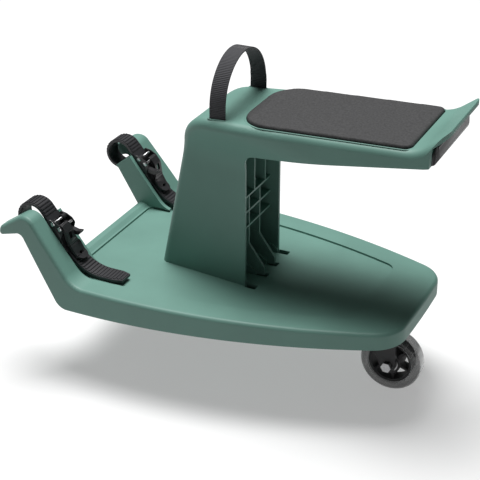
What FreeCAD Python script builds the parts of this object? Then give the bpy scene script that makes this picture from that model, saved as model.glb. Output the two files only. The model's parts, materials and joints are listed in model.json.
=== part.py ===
"""Buggy board with a seat: a deck with two hooked arms, ratchet straps, a castor and a slide-on seat.

Millimetres. +X runs towards the nose and its castor, +Y across the board, +Z up.
The origin is under the middle of the overall length, on the ground.
"""
import FreeCAD, Part
import math
import os
import re

V = FreeCAD.Vector

doc = FreeCAD.newDocument("buggy_board")
dims = doc.addObject("Spreadsheet::Sheet", "dims")

SIZES = {
    # deck
    "nose_x": 231.5,
    "deck_top": 124,
    "deck_width": 300,
    "side_radius": 870,
    "widest_back": 340,
    "nose_bow": 1500,
    "nose_corner": 42,
    "skirt_rear": 34,
    "skirt_nose": 19,
    "deck_wall": 4,
    "deck_plate": 4,
    "edge_round": 5,
    "recess_depth": 2.5,
    "recess_border": 32,
    "recess_nose": 60,
    "recess_corner": 15,
    "deck_rib": 3,
    "deck_rib_depth": 14,
    "outer_rib_y": 75,
    "inner_rib_y": 31,
    "rear_rib": 70,
    # arms, measured back from the nose and up from the deck
    "foot_back": 390,
    "foot_round": 30,
    "apex_back": 452,
    "apex_rise": 82.5,
    "apex_round": 16,
    "hook_slope": 0.66,
    "hook_corner_back": 462,
    "hook_corner_rise": 54,
    "hook_round": 9,
    "tip_back": 496.5,
    "tip_rise": 42.5,
    "tip_round": 4,
    "heel_back": 410,
    "heel_round": 18,
    "inner_end": 19,
    "arm_wall": 4.5,
    "rib_width": 5.8,
    "lip_rise": 4,
    "lip_width": 12,
    # ratchet straps, along the slope from the apex
    "strap_inset": 45,
    "strap_width": 25,
    "strap_thick": 3,
    "strap_gap": 0.3,
    "channel_depth": 4,
    "channel_gap": 0.4,
    "loop_radius": 18,
    "loop_at": 9.2,
    "anchor_run": 26,
    "tail_bend": 55,
    "tail_back": 339,
    "tail_lift": 2,
    "tail_taper": 3.5,
    "anchor_plate": 1.5,
    # ratchet buckle
    "buckle_start": 21,
    "buckle_end": 71,
    "buckle_floor": 2,
    "cheek": 1.5,
    "cheek_height": 17,
    "bar_at": 29,
    "bar_height": 9.6,
    "bar_radius": 1.75,
    "lever_at": 38.5,
    "lever_height": 14,
    "lever_pin_radius": 1.75,
    "pivot_gap": 0.05,
    "lever_length": 46,
    "lever_barrel": 4.5,
    "lever_thick": 3.2,
    "lever_inner": 3,
    "spoon_half": 10.5,
    "pawl_reach": 25,
    "pawl_width": 7,
    "screw_radius": 1.6,
    "screw_head": 3,
    "screw_length": 7,
    # seat, measured back from the nose and up from the deck
    "column_back": 328,
    "column_front": 207,
    "column_back_half": 37,
    "column_front_half": 50.6,
    "crown_back": 283.5,
    "crown_rise": 207.5,
    "crown_round": 44,
    "seat_end_rise": 219,
    "seat_half": 70,
    "shoulder": 10,
    "under_corner_rise": 169.5,
    "under_corner": 15,
    "flare_rise": 159,
    "flare_slope": 0.43,
    "flare_round": 80,
    "under_end_rise": 203,
    "lip_over": 32,
    "seat_lip_rise": 242.5,
    "seat_lip_thick": 5,
    "seat_corner": 26,
    "seat_wall": 4,
    "end_over": 16,
    "lip_bend": 45,
    "side_blend": 60,
    "seat_rib": 2.5,
    "seat_rib_depth": 11,
    "rib_setback": 11,
    "upper_rib_y": 30,
    "lattice_rise": 101,
    "lattice_step": 20,
    "foot_slide": 14,
    "foot_length": 13,
    "foot_width": 9,
    "foot_drop": 11,
    "foot_gap": 0.3,
    "hook_reach": 13.5,
    "outer_foot_y": 48,
    "inner_foot_y": 15,
    # pad, end cap and carry strap
    "pad_start": 213,
    "pad_end": 7,
    "pad_margin": 7.5,
    "pad_depth": 3,
    "pad_rise": 5.5,
    "pad_gap": 0.4,
    "pad_round": 36,
    "pad_corner": 9,
    "cap_bulge": 7,
    "cap_gap": 0.3,
    "web_width": 20,
    "web_thick": 2,
    "web_inset": 15,
    "web_back": 239.5,
    "web_leg": 13.5,
    "web_gap": 0.8,
    "web_bar": 2,
    "web_seat": 1.1,
    # castor
    "castor_back": 47,
    "castor_trail": 14,
    "wheel_radius": 38,
    "wheel_width": 24,
    "core_radius": 27,
    "rim_thick": 3,
    "hub_radius": 14,
    "spoke_thick": 3,
    "tyre_round": 6,
    "bearing_radius": 11,
    "bearing_width": 7,
    "axle_radius": 4,
    "axle_gap": 0.05,
    "fork_gap": 2,
    "fork_leg": 5.5,
    "fork_foot": 9.5,
    "crown_radius": 17,
    "crown_thick": 10,
    "washer_thick": 1.5,
    "socket_flange": 2,
    "socket_radius": 8,
    "socket_length": 22,
    "stem_radius": 5.5,
    "stem_gap": 0.05,
    "boss_radius": 14,
    "boss_drop": 30,
    "ring_wire": 0.8,
    "axle_head": 6.5,
    "axle_head_thick": 5,
}

for row, (alias, value) in enumerate(SIZES.items(), 1):
    dims.set("A%d" % row, alias)
    dims.set("B%d" % row, str(value))
    dims.setAlias("B%d" % row, alias)
doc.recompute()

parts = {}


def size(alias):
    """A driving size, as the sheet holds it."""
    return float(getattr(dims, alias))


def bind(item, prop, formula):
    """Tie a property to the sheet: every plain word of the formula is one of its sizes."""
    item.setExpression(prop, re.sub(r"[a-z]\w*", r"dims.\g<0>", formula))


def keep(label, item):
    """Give a finished piece the name that its file gets."""
    item.Label = label
    parts[label] = item
    return item


def feature(label, shape):
    item = doc.addObject("Part::Feature", label)
    item.Shape = shape
    return item


def rod(name, axis, radius, length, x="0", y="0", z="0"):
    """A round bar along +X, +Y or +Z from a point, with bound radius, length and place."""
    item = doc.addObject("Part::Cylinder", name)
    turn = {"x": (V(0, 1, 0), 90), "y": (V(1, 0, 0), -90), "z": (V(0, 0, 1), 0)}[axis]
    item.Placement = FreeCAD.Placement(V(), FreeCAD.Rotation(*turn))
    bind(item, "Radius", radius)
    bind(item, "Height", length)
    for letter, formula in zip("xyz", (x, y, z)):
        bind(item, "Placement.Base." + letter, formula)
    return item


def block(name, lengths, corner):
    """A box from its lowest corner, with bound lengths and place."""
    item = doc.addObject("Part::Box", name)
    for prop, formula in zip(("Length", "Width", "Height"), lengths):
        bind(item, prop, formula)
    for letter, formula in zip("xyz", corner):
        bind(item, "Placement.Base." + letter, formula)
    return item


def hexagon(name, radius, length, x, y, z):
    """A six-sided bar along +Y."""
    item = doc.addObject("Part::Prism", name)
    item.Polygon = 6
    item.Placement = FreeCAD.Placement(V(), FreeCAD.Rotation(V(1, 0, 0), -90))
    bind(item, "Circumradius", radius)
    bind(item, "Height", length)
    for letter, formula in zip("xyz", (x, y, z)):
        bind(item, "Placement.Base." + letter, formula)
    return item


def join(name, *items):
    item = doc.addObject("Part::MultiFuse", name)
    item.Shapes = list(items)
    return item


def group(name, *items):
    """Separate like solids in one node."""
    item = doc.addObject("Part::Compound", name)
    item.Links = list(items)
    return item


def cut(name, base, *tools):
    for number, tool in enumerate(tools):
        item = doc.addObject("Part::Cut", "%s_%d" % (name, number))
        item.Base = base
        item.Tool = tool
        base = item
    return base


def mirrored(name, source):
    """The same piece on the other side of the board's middle plane."""
    item = doc.addObject("Part::Mirroring", name)
    item.Source = source
    item.Normal = V(0, 1, 0)
    return item


PLANES = {
    "XY": lambda a, b: V(a, b, 0),
    "XZ": lambda a, b: V(a, 0, b),
    "YZ": lambda a, b: V(0, a, b),
}
NORMALS = {"XY": V(0, 0, 1), "XZ": V(0, 1, 0), "YZ": V(1, 0, 0)}


def rounded_wire(points, radii):
    """A closed wire through 3-D corner points, each corner rounded by its own radius."""
    count = len(points)
    corners = []
    for index, point in enumerate(points):
        before = (points[index - 1] - point).normalize()
        after = (points[(index + 1) % count] - point).normalize()
        radius = radii[index]
        if not radius:
            corners.append((point, None, point))
            continue
        half = before.getAngle(after) / 2
        middle = (before + after).normalize()
        reach = radius / math.tan(half)
        nearest = point + middle * (radius / math.sin(half) - radius)
        corners.append((point + before * reach, nearest, point + after * reach))
    edges = []
    for index, (start, nearest, end) in enumerate(corners):
        if nearest:
            edges.append(Part.Arc(start, nearest, end).toShape())
        following = corners[(index + 1) % count][0]
        if (following - end).Length > 1e-6:
            edges.append(Part.LineSegment(end, following).toShape())
    return Part.Wire(edges)


def slab(plane, low, high, *corners):
    """A solid of even thickness: corners are (a, b) or (a, b, rounding) in the plane."""
    points = [PLANES[plane](corner[0], corner[1]) for corner in corners]
    radii = [corner[2] if len(corner) > 2 else 0 for corner in corners]
    face = Part.Face(rounded_wire(points, radii))
    face.translate(NORMALS[plane] * low)
    return face.extrude(NORMALS[plane] * (high - low))


def both_sides(shape):
    return shape.fuse(shape.mirror(V(), V(0, 1, 0)))


def fuse_all(base, shapes):
    return base.multiFuse(shapes).removeSplitter()


# Places that several pieces share.

NOSE = size("nose_x")
TOP = size("deck_top")
FLOOR = TOP - size("recess_depth")
PLATE_UNDER = FLOOR - size("deck_plate")


def back(alias):
    """X of a place that is measured back from the nose."""
    return NOSE - size(alias)


def rise(alias):
    """Z of a place that is measured up from the deck."""
    return TOP + size(alias)


# The straight front of an arm: a line from its apex down to its foot, and the square to it.
APEX = V(back("apex_back"), 0, rise("apex_rise"))
DOWN = (V(back("foot_back"), 0, TOP) - APEX).normalize()
OUT = V(-DOWN.z, 0, DOWN.x)
SLOPE_ANGLE = math.degrees(math.atan2(-DOWN.z, DOWN.x))
SLOPE_LENGTH = (V(back("foot_back"), 0, TOP) - APEX).Length

# The flat back of the deck and arms, from the heel up to the hook's corner.
HEEL = V(back("heel_back"), 0, TOP - size("skirt_rear"))
HOOK_CORNER = V(back("hook_corner_back"), 0, rise("hook_corner_rise"))
UP_BACK = (HOOK_CORNER - HEEL).normalize()

CHANNEL_HALF = size("strap_width") / 2 + size("strap_gap") + size("cheek") + size("channel_gap")
STRAP_Y = size("deck_width") / 2 - size("strap_inset")
CHANNEL_IN = STRAP_Y - CHANNEL_HALF
CHANNEL_OUT = STRAP_Y + CHANNEL_HALF
ARM_INNER = CHANNEL_IN - size("rib_width")
FAR = size("deck_width")


def on_slope(along, out):
    """A point beside the arm's front line: along it from the apex, and out from it."""
    return APEX + DOWN * along + OUT * out


def back_face_x(z, inward=0):
    """X of the flat back at a height, or of a plane that far inside it."""
    run = (HOOK_CORNER.x - HEEL.x) / (HOOK_CORNER.z - HEEL.z)
    return HEEL.x + run * (z - HEEL.z) + inward / UP_BACK.z


def flat(point):
    return (point.x, point.z)


# Deck: one moulding with the two arms.


def deck_plan(inset, low, high):
    """The deck's plan between two heights: two bowed sides, a bowed nose and rounded corners."""
    reach = size("side_radius") - inset
    offset = size("side_radius") - size("deck_width") / 2
    middle = back("widest_back")
    height = high - low
    right = Part.makeCylinder(reach, height, V(middle, offset, low))
    left = Part.makeCylinder(reach, height, V(middle, -offset, low))
    nose_reach = size("nose_bow") - inset
    nose = Part.makeCylinder(nose_reach, height, V(NOSE - size("nose_bow"), 0, low))
    nose.rotate(V(NOSE - size("nose_bow"), 0, 0), V(0, 0, 1), 180)
    plan = right.common(left).common(nose)
    corners = [edge for edge in plan.Edges if is_upright(edge) and edge.CenterOfMass.x > middle
               and abs(edge.CenterOfMass.y) > 1]
    return plan.makeFillet(size("nose_corner") - inset, corners)


def is_upright(edge):
    return abs(edge.tangentAt(edge.FirstParameter).z) > 0.999


def top_edges(shape):
    """Edges where an upward face meets an upright side."""
    found = []
    for face in shape.Faces:
        middle = face.CenterOfMass
        normal = face.normalAt(*face.Surface.parameter(middle))
        if normal.z < 0.25:
            continue
        for edge in face.Edges:
            if abs(edge.tangentAt(edge.FirstParameter).y) < 0.97 or edge.CenterOfMass.x > NOSE - 60:
                found.append(edge)
    return found


def deck_outside():
    """The board's outer form: plan and side view together, with soft top edges."""
    hook_run = size("tip_back") - size("apex_back") + 80
    upper = slab("XZ", -FAR, FAR,
                 (NOSE + 20, TOP),
                 (back("foot_back"), TOP, size("foot_round")),
                 (APEX.x, APEX.z, size("apex_round")),
                 (APEX.x - hook_run, APEX.z - hook_run * size("hook_slope")),
                 (APEX.x - hook_run, 0),
                 (NOSE + 20, 0))
    body = deck_plan(0, 0, APEX.z + 40).common(upper)
    body = body.makeFillet(size("edge_round"), top_edges(body))
    tip = V(back("tip_back"), 0, rise("tip_rise"))
    run_in = size("tip_round") * 3
    over_tip = APEX.z - (APEX.x - tip.x - run_in) * size("hook_slope") + size("tip_round")
    tip_top = APEX.z - (APEX.x - tip.x) * size("hook_slope")
    below = slab("XZ", -FAR, FAR,
                 (tip.x - 300, -50),
                 (tip.x - 300, over_tip),
                 (tip.x + run_in, over_tip),
                 (tip.x + 1, tip_top, size("tip_round")),
                 (tip.x, tip.z, size("tip_round") * 0.75),
                 (HOOK_CORNER.x, HOOK_CORNER.z, size("hook_round")),
                 (HEEL.x, HEEL.z, size("heel_round")),
                 (NOSE + 40, TOP - size("skirt_nose")),
                 (NOSE + 40, -50))
    return body.cut(below)


def deck_recess():
    """The shallow standing area, which stops short of the rim, the nose and the arms."""
    border = size("recess_border")
    plan = deck_plan(border, FLOOR, TOP + 1)
    rear = back_face_x(TOP) + size("lip_width") + 6
    nose = back("recess_nose")
    bounds = slab("XY", FLOOR, TOP + 1,
                  (rear, -ARM_INNER, 12), (nose, -FAR), (nose, FAR), (rear, ARM_INNER, 12))
    well = plan.common(bounds)
    corners = [edge for edge in well.Edges if is_upright(edge) and edge.CenterOfMass.x > nose - 30]
    return well.makeFillet(size("recess_corner"), corners)


def arm_cuts():
    """What is taken off the arms: the well between them, the strap channels and the inner ends."""
    high = APEX.z + 60
    far_left = back("tip_back") - 40
    near_foot = back("foot_back") + size("foot_round") * 2
    well = slab("XZ", -ARM_INNER, ARM_INNER,
                (far_left, TOP), (near_foot, TOP), (near_foot, high), (far_left, high))
    floor_top = on_slope(-60, -size("channel_depth"))
    floor_foot = on_slope(SLOPE_LENGTH, -size("channel_depth"))
    shift = (TOP - floor_foot.z) / DOWN.z
    floor_foot = floor_foot + DOWN * shift
    channel = slab("XZ", CHANNEL_IN, CHANNEL_OUT,
                   flat(floor_foot), flat(floor_top), (floor_top.x, high),
                   (near_foot, high), (near_foot, TOP))
    end_out = on_slope(size("inner_end"), 60)
    end_back = on_slope(size("inner_end"), -60)
    inner_end = slab("XZ", 0, CHANNEL_OUT,
                     flat(end_out), flat(end_back), (far_left, end_back.z),
                     (far_left, high + 60), (end_out.x, high + 60))
    return [well, both_sides(channel), both_sides(inner_end)]


def deck_lip():
    """The rounded kerb between the arms, along the deck's back edge."""
    high = rise("lip_rise")
    under = TOP - size("deck_plate")
    round_off = size("lip_rise") * 0.9
    return slab("XZ", -ARM_INNER - 1, ARM_INNER + 1,
                (back_face_x(under), under),
                (back_face_x(high), high, round_off),
                (back_face_x(high) + size("lip_width"), high, round_off),
                (back_face_x(TOP) + size("lip_width") + size("lip_rise"), TOP, round_off),
                (back_face_x(TOP) + size("lip_width") + size("lip_rise") + 6, TOP),
                (back_face_x(TOP) + size("lip_width") + size("lip_rise") + 6, under))


def deck_hollows():
    """The open underside: a tray below the plate, reaching up inside both arms."""
    wall = size("deck_wall")
    inside = deck_plan(wall, -20, APEX.z)
    tray = slab("XZ", -FAR, FAR,
                (NOSE + 20, -10), (NOSE + 20, PLATE_UNDER),
                (back_face_x(PLATE_UNDER, wall), PLATE_UNDER), (back_face_x(0, wall), 0))
    skin = size("channel_depth") + size("arm_wall")
    foot = on_slope(SLOPE_LENGTH, -skin)
    foot = foot + DOWN * ((PLATE_UNDER - 1 - foot.z) / DOWN.z)
    end = size("inner_end") + size("arm_wall") * 1.5
    deep = -20
    arm = slab("XZ", ARM_INNER + wall, FAR,
               (back_face_x(PLATE_UNDER - 1, size("arm_wall")), PLATE_UNDER - 1),
               flat(on_slope(end, deep)), flat(on_slope(end, -skin)), flat(foot))
    return inside.common(tray).fuse(inside.common(both_sides(arm)))


def deck_ribs():
    """Stiffening ribs under the plate and the boss that holds the castor's socket."""
    thick = size("deck_rib")
    low = PLATE_UNDER - size("deck_rib_depth")
    rear = back_face_x(PLATE_UNDER)
    bars = []
    outer = size("outer_rib_y")
    inner = size("inner_rib_y")
    for y in (-outer, -inner, inner, outer):
        bars.append(slab("XY", low, PLATE_UNDER + 1, (rear, y - thick / 2), (NOSE, y - thick / 2),
                         (NOSE, y + thick / 2), (rear, y + thick / 2)))
    clear_of_feet = back("column_front") + size("foot_slide") * 3
    for x in (back("heel_back") + size("rear_rib"), clear_of_feet, back("castor_back")):
        bars.append(slab("XY", low, PLATE_UNDER + 1, (x - thick / 2, -FAR), (x + thick / 2, -FAR),
                         (x + thick / 2, FAR), (x - thick / 2, FAR)))
    inside = deck_plan(size("deck_wall") / 2, low, PLATE_UNDER + 1)
    boss = Part.makeCylinder(size("boss_radius"), size("boss_drop"),
                             V(back("castor_back"), 0, TOP - size("boss_drop")))
    return [bar.common(inside) for bar in bars] + [boss]


def foot_slots():
    """Slots in the plate that the seat's feet drop into and slide along."""
    gap = size("foot_gap")
    start = back("column_front") - size("foot_length") - gap
    end = back("column_front") + size("foot_slide") + gap
    half = size("foot_width") / 2 + gap
    slots = []
    for y in (size("outer_foot_y"), size("inner_foot_y")):
        slots.append(both_sides(slab("XY", PLATE_UNDER - 5, TOP, (start, y - half), (end, y - half),
                                     (end, y + half), (start, y + half))))
    return slots


def make_deck():
    deck = deck_outside()
    for tool in arm_cuts():
        deck = deck.cut(tool)
    deck = deck.fuse(deck_lip())
    deck = deck.cut(deck_recess()).cut(deck_hollows())
    deck = fuse_all(deck, deck_ribs())
    for slot in foot_slots():
        deck = deck.cut(slot)
    bore = Part.makeCylinder(size("socket_radius"), size("socket_length") + 1,
                             V(back("castor_back"), 0, TOP - size("boss_drop") - 1))
    deck = deck.cut(bore)
    for hole in screw_holes():
        deck = deck.cut(hole)
    keep("deck", feature("deck", deck))


# Ratchet straps and buckles. The left-hand (+Y) set is made, and the right-hand one mirrors it.

STRAP_OUT = size("buckle_floor") + size("strap_gap") + size("strap_thick") / 2 - size("channel_depth")


def strap_route():
    """Corner points and roundings of the strap's middle line, from its fixed end to its tail."""
    half = size("strap_thick") / 2
    off_back = V(-UP_BACK.z, 0, UP_BACK.x) * half
    centre = on_slope(size("loop_at"), STRAP_OUT - size("loop_radius"))
    leave = math.radians(159)
    away = V(math.cos(leave), 0, math.sin(leave))
    touch = centre - V(away.z, 0, -away.x) * size("loop_radius")
    start = HOOK_CORNER + off_back
    along = cross_length(start, UP_BACK * -1, touch, away)
    turn = start - UP_BACK * along
    anchor = turn - UP_BACK * size("anchor_run")
    tail_z = TOP + size("tail_lift") + half
    slope_point = on_slope(0, STRAP_OUT)
    bend = slope_point + DOWN * ((tail_z - slope_point.z) / DOWN.z)
    tail = V(back("tail_back"), 0, tail_z)
    return anchor, turn, touch, centre, on_slope(size("loop_at"), STRAP_OUT), bend, tail


def cross_length(start, heading, other, other_heading):
    """How far along a heading from start the two lines cross, in the XZ plane."""
    gap = other - start
    turn = heading.x * other_heading.z - heading.z * other_heading.x
    return (gap.x * other_heading.z - gap.z * other_heading.x) / turn


def corner_arc(before, corner, after, radius):
    """Start, middle and end of a rounding at a corner of the route."""
    into = (before - corner).normalize()
    out = (after - corner).normalize()
    half = into.getAngle(out) / 2
    middle = (into + out).normalize()
    reach = radius / math.tan(half)
    return corner + into * reach, corner + middle * (radius / math.sin(half) - radius), corner + out * reach


def strap_line(offset):
    """The strap's side line, set off from its middle line, as edges in the XZ plane."""
    anchor, turn, touch, centre, leave, bend, tail = strap_route()
    first_round = 7
    edges = []
    square = V(-UP_BACK.z, 0, UP_BACK.x)
    start = anchor + square * offset
    turn_in, turn_mid, turn_out = corner_arc(anchor, turn, touch, first_round)
    hub = turn_in + square * first_round
    shrink = (first_round - offset) / first_round
    arc = [hub + (point - hub) * shrink for point in (turn_in, turn_mid, turn_out)]
    edges.append(Part.LineSegment(start, arc[0]).toShape())
    edges.append(Part.Arc(*arc).toShape())
    radius = size("loop_radius") + offset
    loop_start = centre + (touch - centre).normalize() * radius
    loop_end = centre + (leave - centre).normalize() * radius
    far_side = centre - ((touch - centre) + (leave - centre)).normalize() * radius
    edges.append(Part.LineSegment(arc[2], loop_start).toShape())
    edges.append(Part.Arc(loop_start, far_side, loop_end).toShape())
    bend_in, bend_mid, bend_out = corner_arc(leave, bend, tail, size("tail_bend"))
    bend_hub = bend_in + OUT * size("tail_bend")
    grow = (size("tail_bend") - offset) / size("tail_bend")
    arc = [bend_hub + (point - bend_hub) * grow for point in (bend_in, bend_mid, bend_out)]
    edges.append(Part.LineSegment(loop_end, arc[0]).toShape())
    edges.append(Part.Arc(*arc).toShape())
    edges.append(Part.LineSegment(arc[2], tail + V(0, 0, offset)).toShape())
    return edges, start, tail + V(0, 0, offset)


def make_strap():
    half = size("strap_thick") / 2
    inner, inner_start, inner_end = strap_line(-half)
    outer, outer_start, outer_end = strap_line(half)
    closing = [Part.LineSegment(inner_start, outer_start).toShape(),
               Part.LineSegment(inner_end, outer_end).toShape()]
    ordered = Part.sortEdges(inner + outer + closing)[0]
    face = Part.Face(Part.Wire(ordered))
    face.translate(V(0, STRAP_Y - size("strap_width") / 2, 0))
    strap = face.extrude(V(0, size("strap_width"), 0))
    tail = back("tail_back")
    side = STRAP_Y + size("strap_width") / 2
    taper = size("tail_taper")
    run = taper * 3
    outer_nip = slab("XY", 0, TOP + 30, (tail - run, side), (tail + 1, side - taper), (tail + 1, side + 5))
    inner_side = STRAP_Y - size("strap_width") / 2
    inner_nip = slab("XY", 0, TOP + 30, (tail - run, inner_side), (tail + 1, inner_side - 5),
                     (tail + 1, inner_side + taper))
    strap = strap.cut(outer_nip).cut(inner_nip)
    hole_at = anchor_screw_place()
    hole_start = hole_at - back_square() * 20
    strap = strap.cut(Part.makeCylinder(size("screw_radius"), 40, hole_start, back_square()))
    far = keep("ladder_strap_left", feature("ladder_strap_left", strap))
    keep("ladder_strap_right", mirrored("ladder_strap_right", far))


def back_square():
    """Straight out of the flat back of the arms."""
    return V(-UP_BACK.z, 0, UP_BACK.x)


def anchor_screw_place():
    """Middle of the strap's fixed end, on the arm's flat back."""
    anchor, turn = strap_route()[:2]
    middle = anchor + (turn - anchor) * 0.4
    return middle - back_square() * (size("strap_thick") / 2) + V(0, STRAP_Y, 0)


def turned_to(shape, origin, direction):
    """A shape made along +Z, turned to point another way from an origin."""
    turned = shape.copy()
    turned.Placement = FreeCAD.Placement(origin, FreeCAD.Rotation(V(0, 0, 1), direction))
    return turned


def screw(origin, direction, seat):
    """A countersunk-free pan screw: its head stands on a seat that far out from the origin."""
    length = size("screw_length")
    shank = Part.makeCylinder(size("screw_radius"), length, V(0, 0, seat - length))
    head = Part.makeCylinder(size("screw_head"), 1.6, V(0, 0, seat))
    head = head.makeFillet(0.7, [edge for edge in head.Edges if edge.CenterOfMass.z > seat + 1.5])
    cross = Part.makeBox(3.2, 0.7, 1, V(-1.6, -0.35, seat + 1))
    whole = shank.fuse(head).cut(cross).removeSplitter()
    return turned_to(whole, origin, direction)


def buckle_screw_places():
    """Two screws through each buckle's floor, under the strap."""
    places = []
    for along in (size("buckle_start") + 5, size("buckle_end") - 5):
        places.append(on_slope(along, -size("channel_depth")) + V(0, STRAP_Y, 0))
    return places


def screw_holes():
    """Holes in the arms for the strap and buckle screws, on both sides."""
    holes = []
    screws = [(anchor_screw_place(), back_square())]
    screws += [(place, OUT) for place in buckle_screw_places()]
    for place, direction in screws:
        hole = Part.makeCylinder(size("screw_radius"), size("screw_length") * 2,
                                 place - direction * size("screw_length"), direction)
        holes.append(both_sides(hole))
    return holes


def make_strap_fixings():
    place = anchor_screw_place()
    square = back_square()
    thick = size("anchor_plate")
    plate = Part.makeBox(size("strap_width") - 7, 12, thick,
                         V(-(size("strap_width") - 7) / 2, -6, size("strap_thick")))
    plate = plate.cut(Part.makeCylinder(size("screw_radius"), 20))
    plate.rotate(V(), V(0, 0, 1), 90)
    plate = turned_to(plate, place, square)
    corners = [edge for edge in plate.Edges if edge.Length < thick + 0.1]
    plate = plate.makeFillet(2, corners)
    far = keep("strap_anchor_plate_left", feature("strap_anchor_plate_left", plate))
    keep("strap_anchor_plate_right", mirrored("strap_anchor_plate_right", far))
    far_screw = feature("anchor_screw", screw(place, square, size("strap_thick") + thick))
    near_screw = mirrored("anchor_screw_right", far_screw)
    keep("strap_anchor_screws", group("strap_anchor_screws", far_screw, near_screw))
    screws = []
    for number, spot in enumerate(buckle_screw_places()):
        low_screw = low_head_screw(spot)
        item = feature("buckle_screw_%d" % number, low_screw)
        screws += [item, mirrored("buckle_screw_%d_right" % number, item)]
    keep("buckle_screws", group("buckle_screws", *screws))


def low_head_screw(spot):
    """A countersunk screw, flush with the buckle's floor so that the strap slides over it."""
    floor = size("buckle_floor")
    shank = Part.makeCylinder(size("screw_radius"), size("screw_length"), V(0, 0, -size("screw_length")))
    head = Part.makeCone(size("screw_radius"), size("screw_head"), floor)
    whole = shank.fuse(head).removeSplitter()
    return turned_to(whole, spot, OUT)


def buckle_frame():
    """Where the buckles' own axes lie: x down the slope, y across, z out of the arm."""
    turn = FreeCAD.Rotation(V(0, 1, 0), SLOPE_ANGLE)
    origin = on_slope(0, -size("channel_depth")) + V(0, STRAP_Y, 0)
    return FreeCAD.Placement(origin, turn)


def placed_buckle_piece(label, shape):
    """A piece made on the left buckle's axes, and its mirror image on the right."""
    item = feature(label + "_left", shape)
    item.Placement = buckle_frame()
    keep(label + "_left", item)
    keep(label + "_right", mirrored(label + "_right", item))


def cross_pin(along, height, radius, half):
    return Part.makeCylinder(radius, half * 2, V(along, -half, height), V(0, 1, 0))


def make_buckles():
    inner_half = size("strap_width") / 2 + size("strap_gap")
    outer_half = inner_half + size("cheek")
    start, end = size("buckle_start"), size("buckle_end")
    floor = size("buckle_floor")
    bar = (size("bar_at"), size("bar_height"))
    pin = (size("lever_at"), size("lever_height"))
    high = size("cheek_height")

    base = slab("XY", 0, floor, (start, -outer_half, 2), (end, -outer_half, 5), (end, outer_half, 5),
                (start, outer_half, 2))
    cheek = slab("XZ", inner_half, outer_half,
                 (start + 1, 0), (start + 1, bar[1] - 1, 2), (bar[0] - 1, bar[1] + 4, 3),
                 (pin[0] - 3, high, 3),
                 (pin[0] + 4, high, 4), (pin[0] + 12, floor + 4, 5), (end - 4, floor + 3, 1.5), (end - 4, 0))
    base = fuse_all(base, [cheek, cheek.mirror(V(), V(0, 1, 0))])
    base = base.cut(cross_pin(*bar, size("bar_radius"), 30))
    base = base.cut(cross_pin(*pin, size("lever_pin_radius"), 30))
    for along in (start + 5, end - 5):
        base = base.cut(Part.makeCone(size("screw_radius"), size("screw_head"), floor, V(along, 0, 0)))
    placed_buckle_piece("buckle_base", base)

    head = 1.2
    for label, place, radius in (("release_bar", bar, size("bar_radius")),
                                 ("lever_pin", pin, size("lever_pin_radius"))):
        shaft = cross_pin(*place, radius, outer_half)
        heads = [Part.makeCylinder(radius * 1.6, head, V(place[0], y, place[1]), V(0, 1, 0))
                 for y in (-outer_half - head + 0.8, outer_half - 0.8)]
        pin_cut = [cross_pin(*place, radius * 1.6, outer_half - 0.0001)]
        caps = [one.cut(pin_cut[0]) for one in heads]
        placed_buckle_piece(label, fuse_all(shaft, caps))

    make_lever(pin, inner_half)
    make_pawl(bar, inner_half)


def make_lever(pin, inner_half):
    """The drive lever: a barrel on its pin, a bridge on the outer side and a dished thumb end."""
    gap = size("strap_gap")
    barrel = size("lever_barrel")
    thick = size("lever_thick")
    tip = pin[0] + size("lever_length")
    side = inner_half - gap
    rest = size("buckle_floor") + size("strap_gap") + size("strap_thick") + 1.2
    profile = slab("XZ", -side, side,
                   (pin[0] - 2, pin[1] + barrel - thick), (pin[0] - 2, pin[1] + barrel, 1),
                   (pin[0] + 8, pin[1] + barrel, 8), (pin[0] + 24, rest + thick + 1.5, 14),
                   (tip - 9, rest + thick, 12), (tip, rest + thick + 3.5), (tip, rest + 3.5),
                   (tip - 9, rest, 14), (pin[0] + 23, rest + 1, 10),
                   (pin[0] + 7, pin[1] + barrel - thick, 6))
    outline = slab("XY", -5, pin[1] + 30,
                   (pin[0] - 6, -size("lever_inner")), (pin[0] + 19, -size("lever_inner"), 3),
                   (pin[0] + 25, -size("spoon_half"), 5), (tip, -size("spoon_half") + 1, 8),
                   (tip, size("spoon_half") - 1, 8), (pin[0] + 25, size("spoon_half"), 8),
                   (pin[0] + 12, side), (pin[0] - 6, side))
    lever = profile.common(outline)
    inner = size("lever_inner")
    round_part = Part.makeCylinder(barrel, side + inner, V(pin[0], -inner, pin[1]), V(0, 1, 0))
    tooth = slab("XZ", 0, side - 2, (pin[0] - 3, pin[1] - 2), (pin[0] + 3.5, pin[1]),
                 (pin[0] + 2, rest - 0.6, 0.5), (pin[0] + 0.2, rest - 0.6))
    lever = fuse_all(lever, [round_part, tooth])
    lever = lever.cut(cross_pin(*pin, size("lever_pin_radius") + size("pivot_gap"), 30))
    lever = lever.cut(Part.makeCylinder(2.2, 40, V(tip - 8, 0, 0)))
    window = slab("XY", 0, pin[1] + 30, (pin[0] + 9, 2, 1.5), (pin[0] + 17, 2, 1.5), (pin[0] + 17, 8, 1.5),
                  (pin[0] + 9, 8, 1.5))
    placed_buckle_piece("buckle_lever", lever.cut(window))


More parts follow.
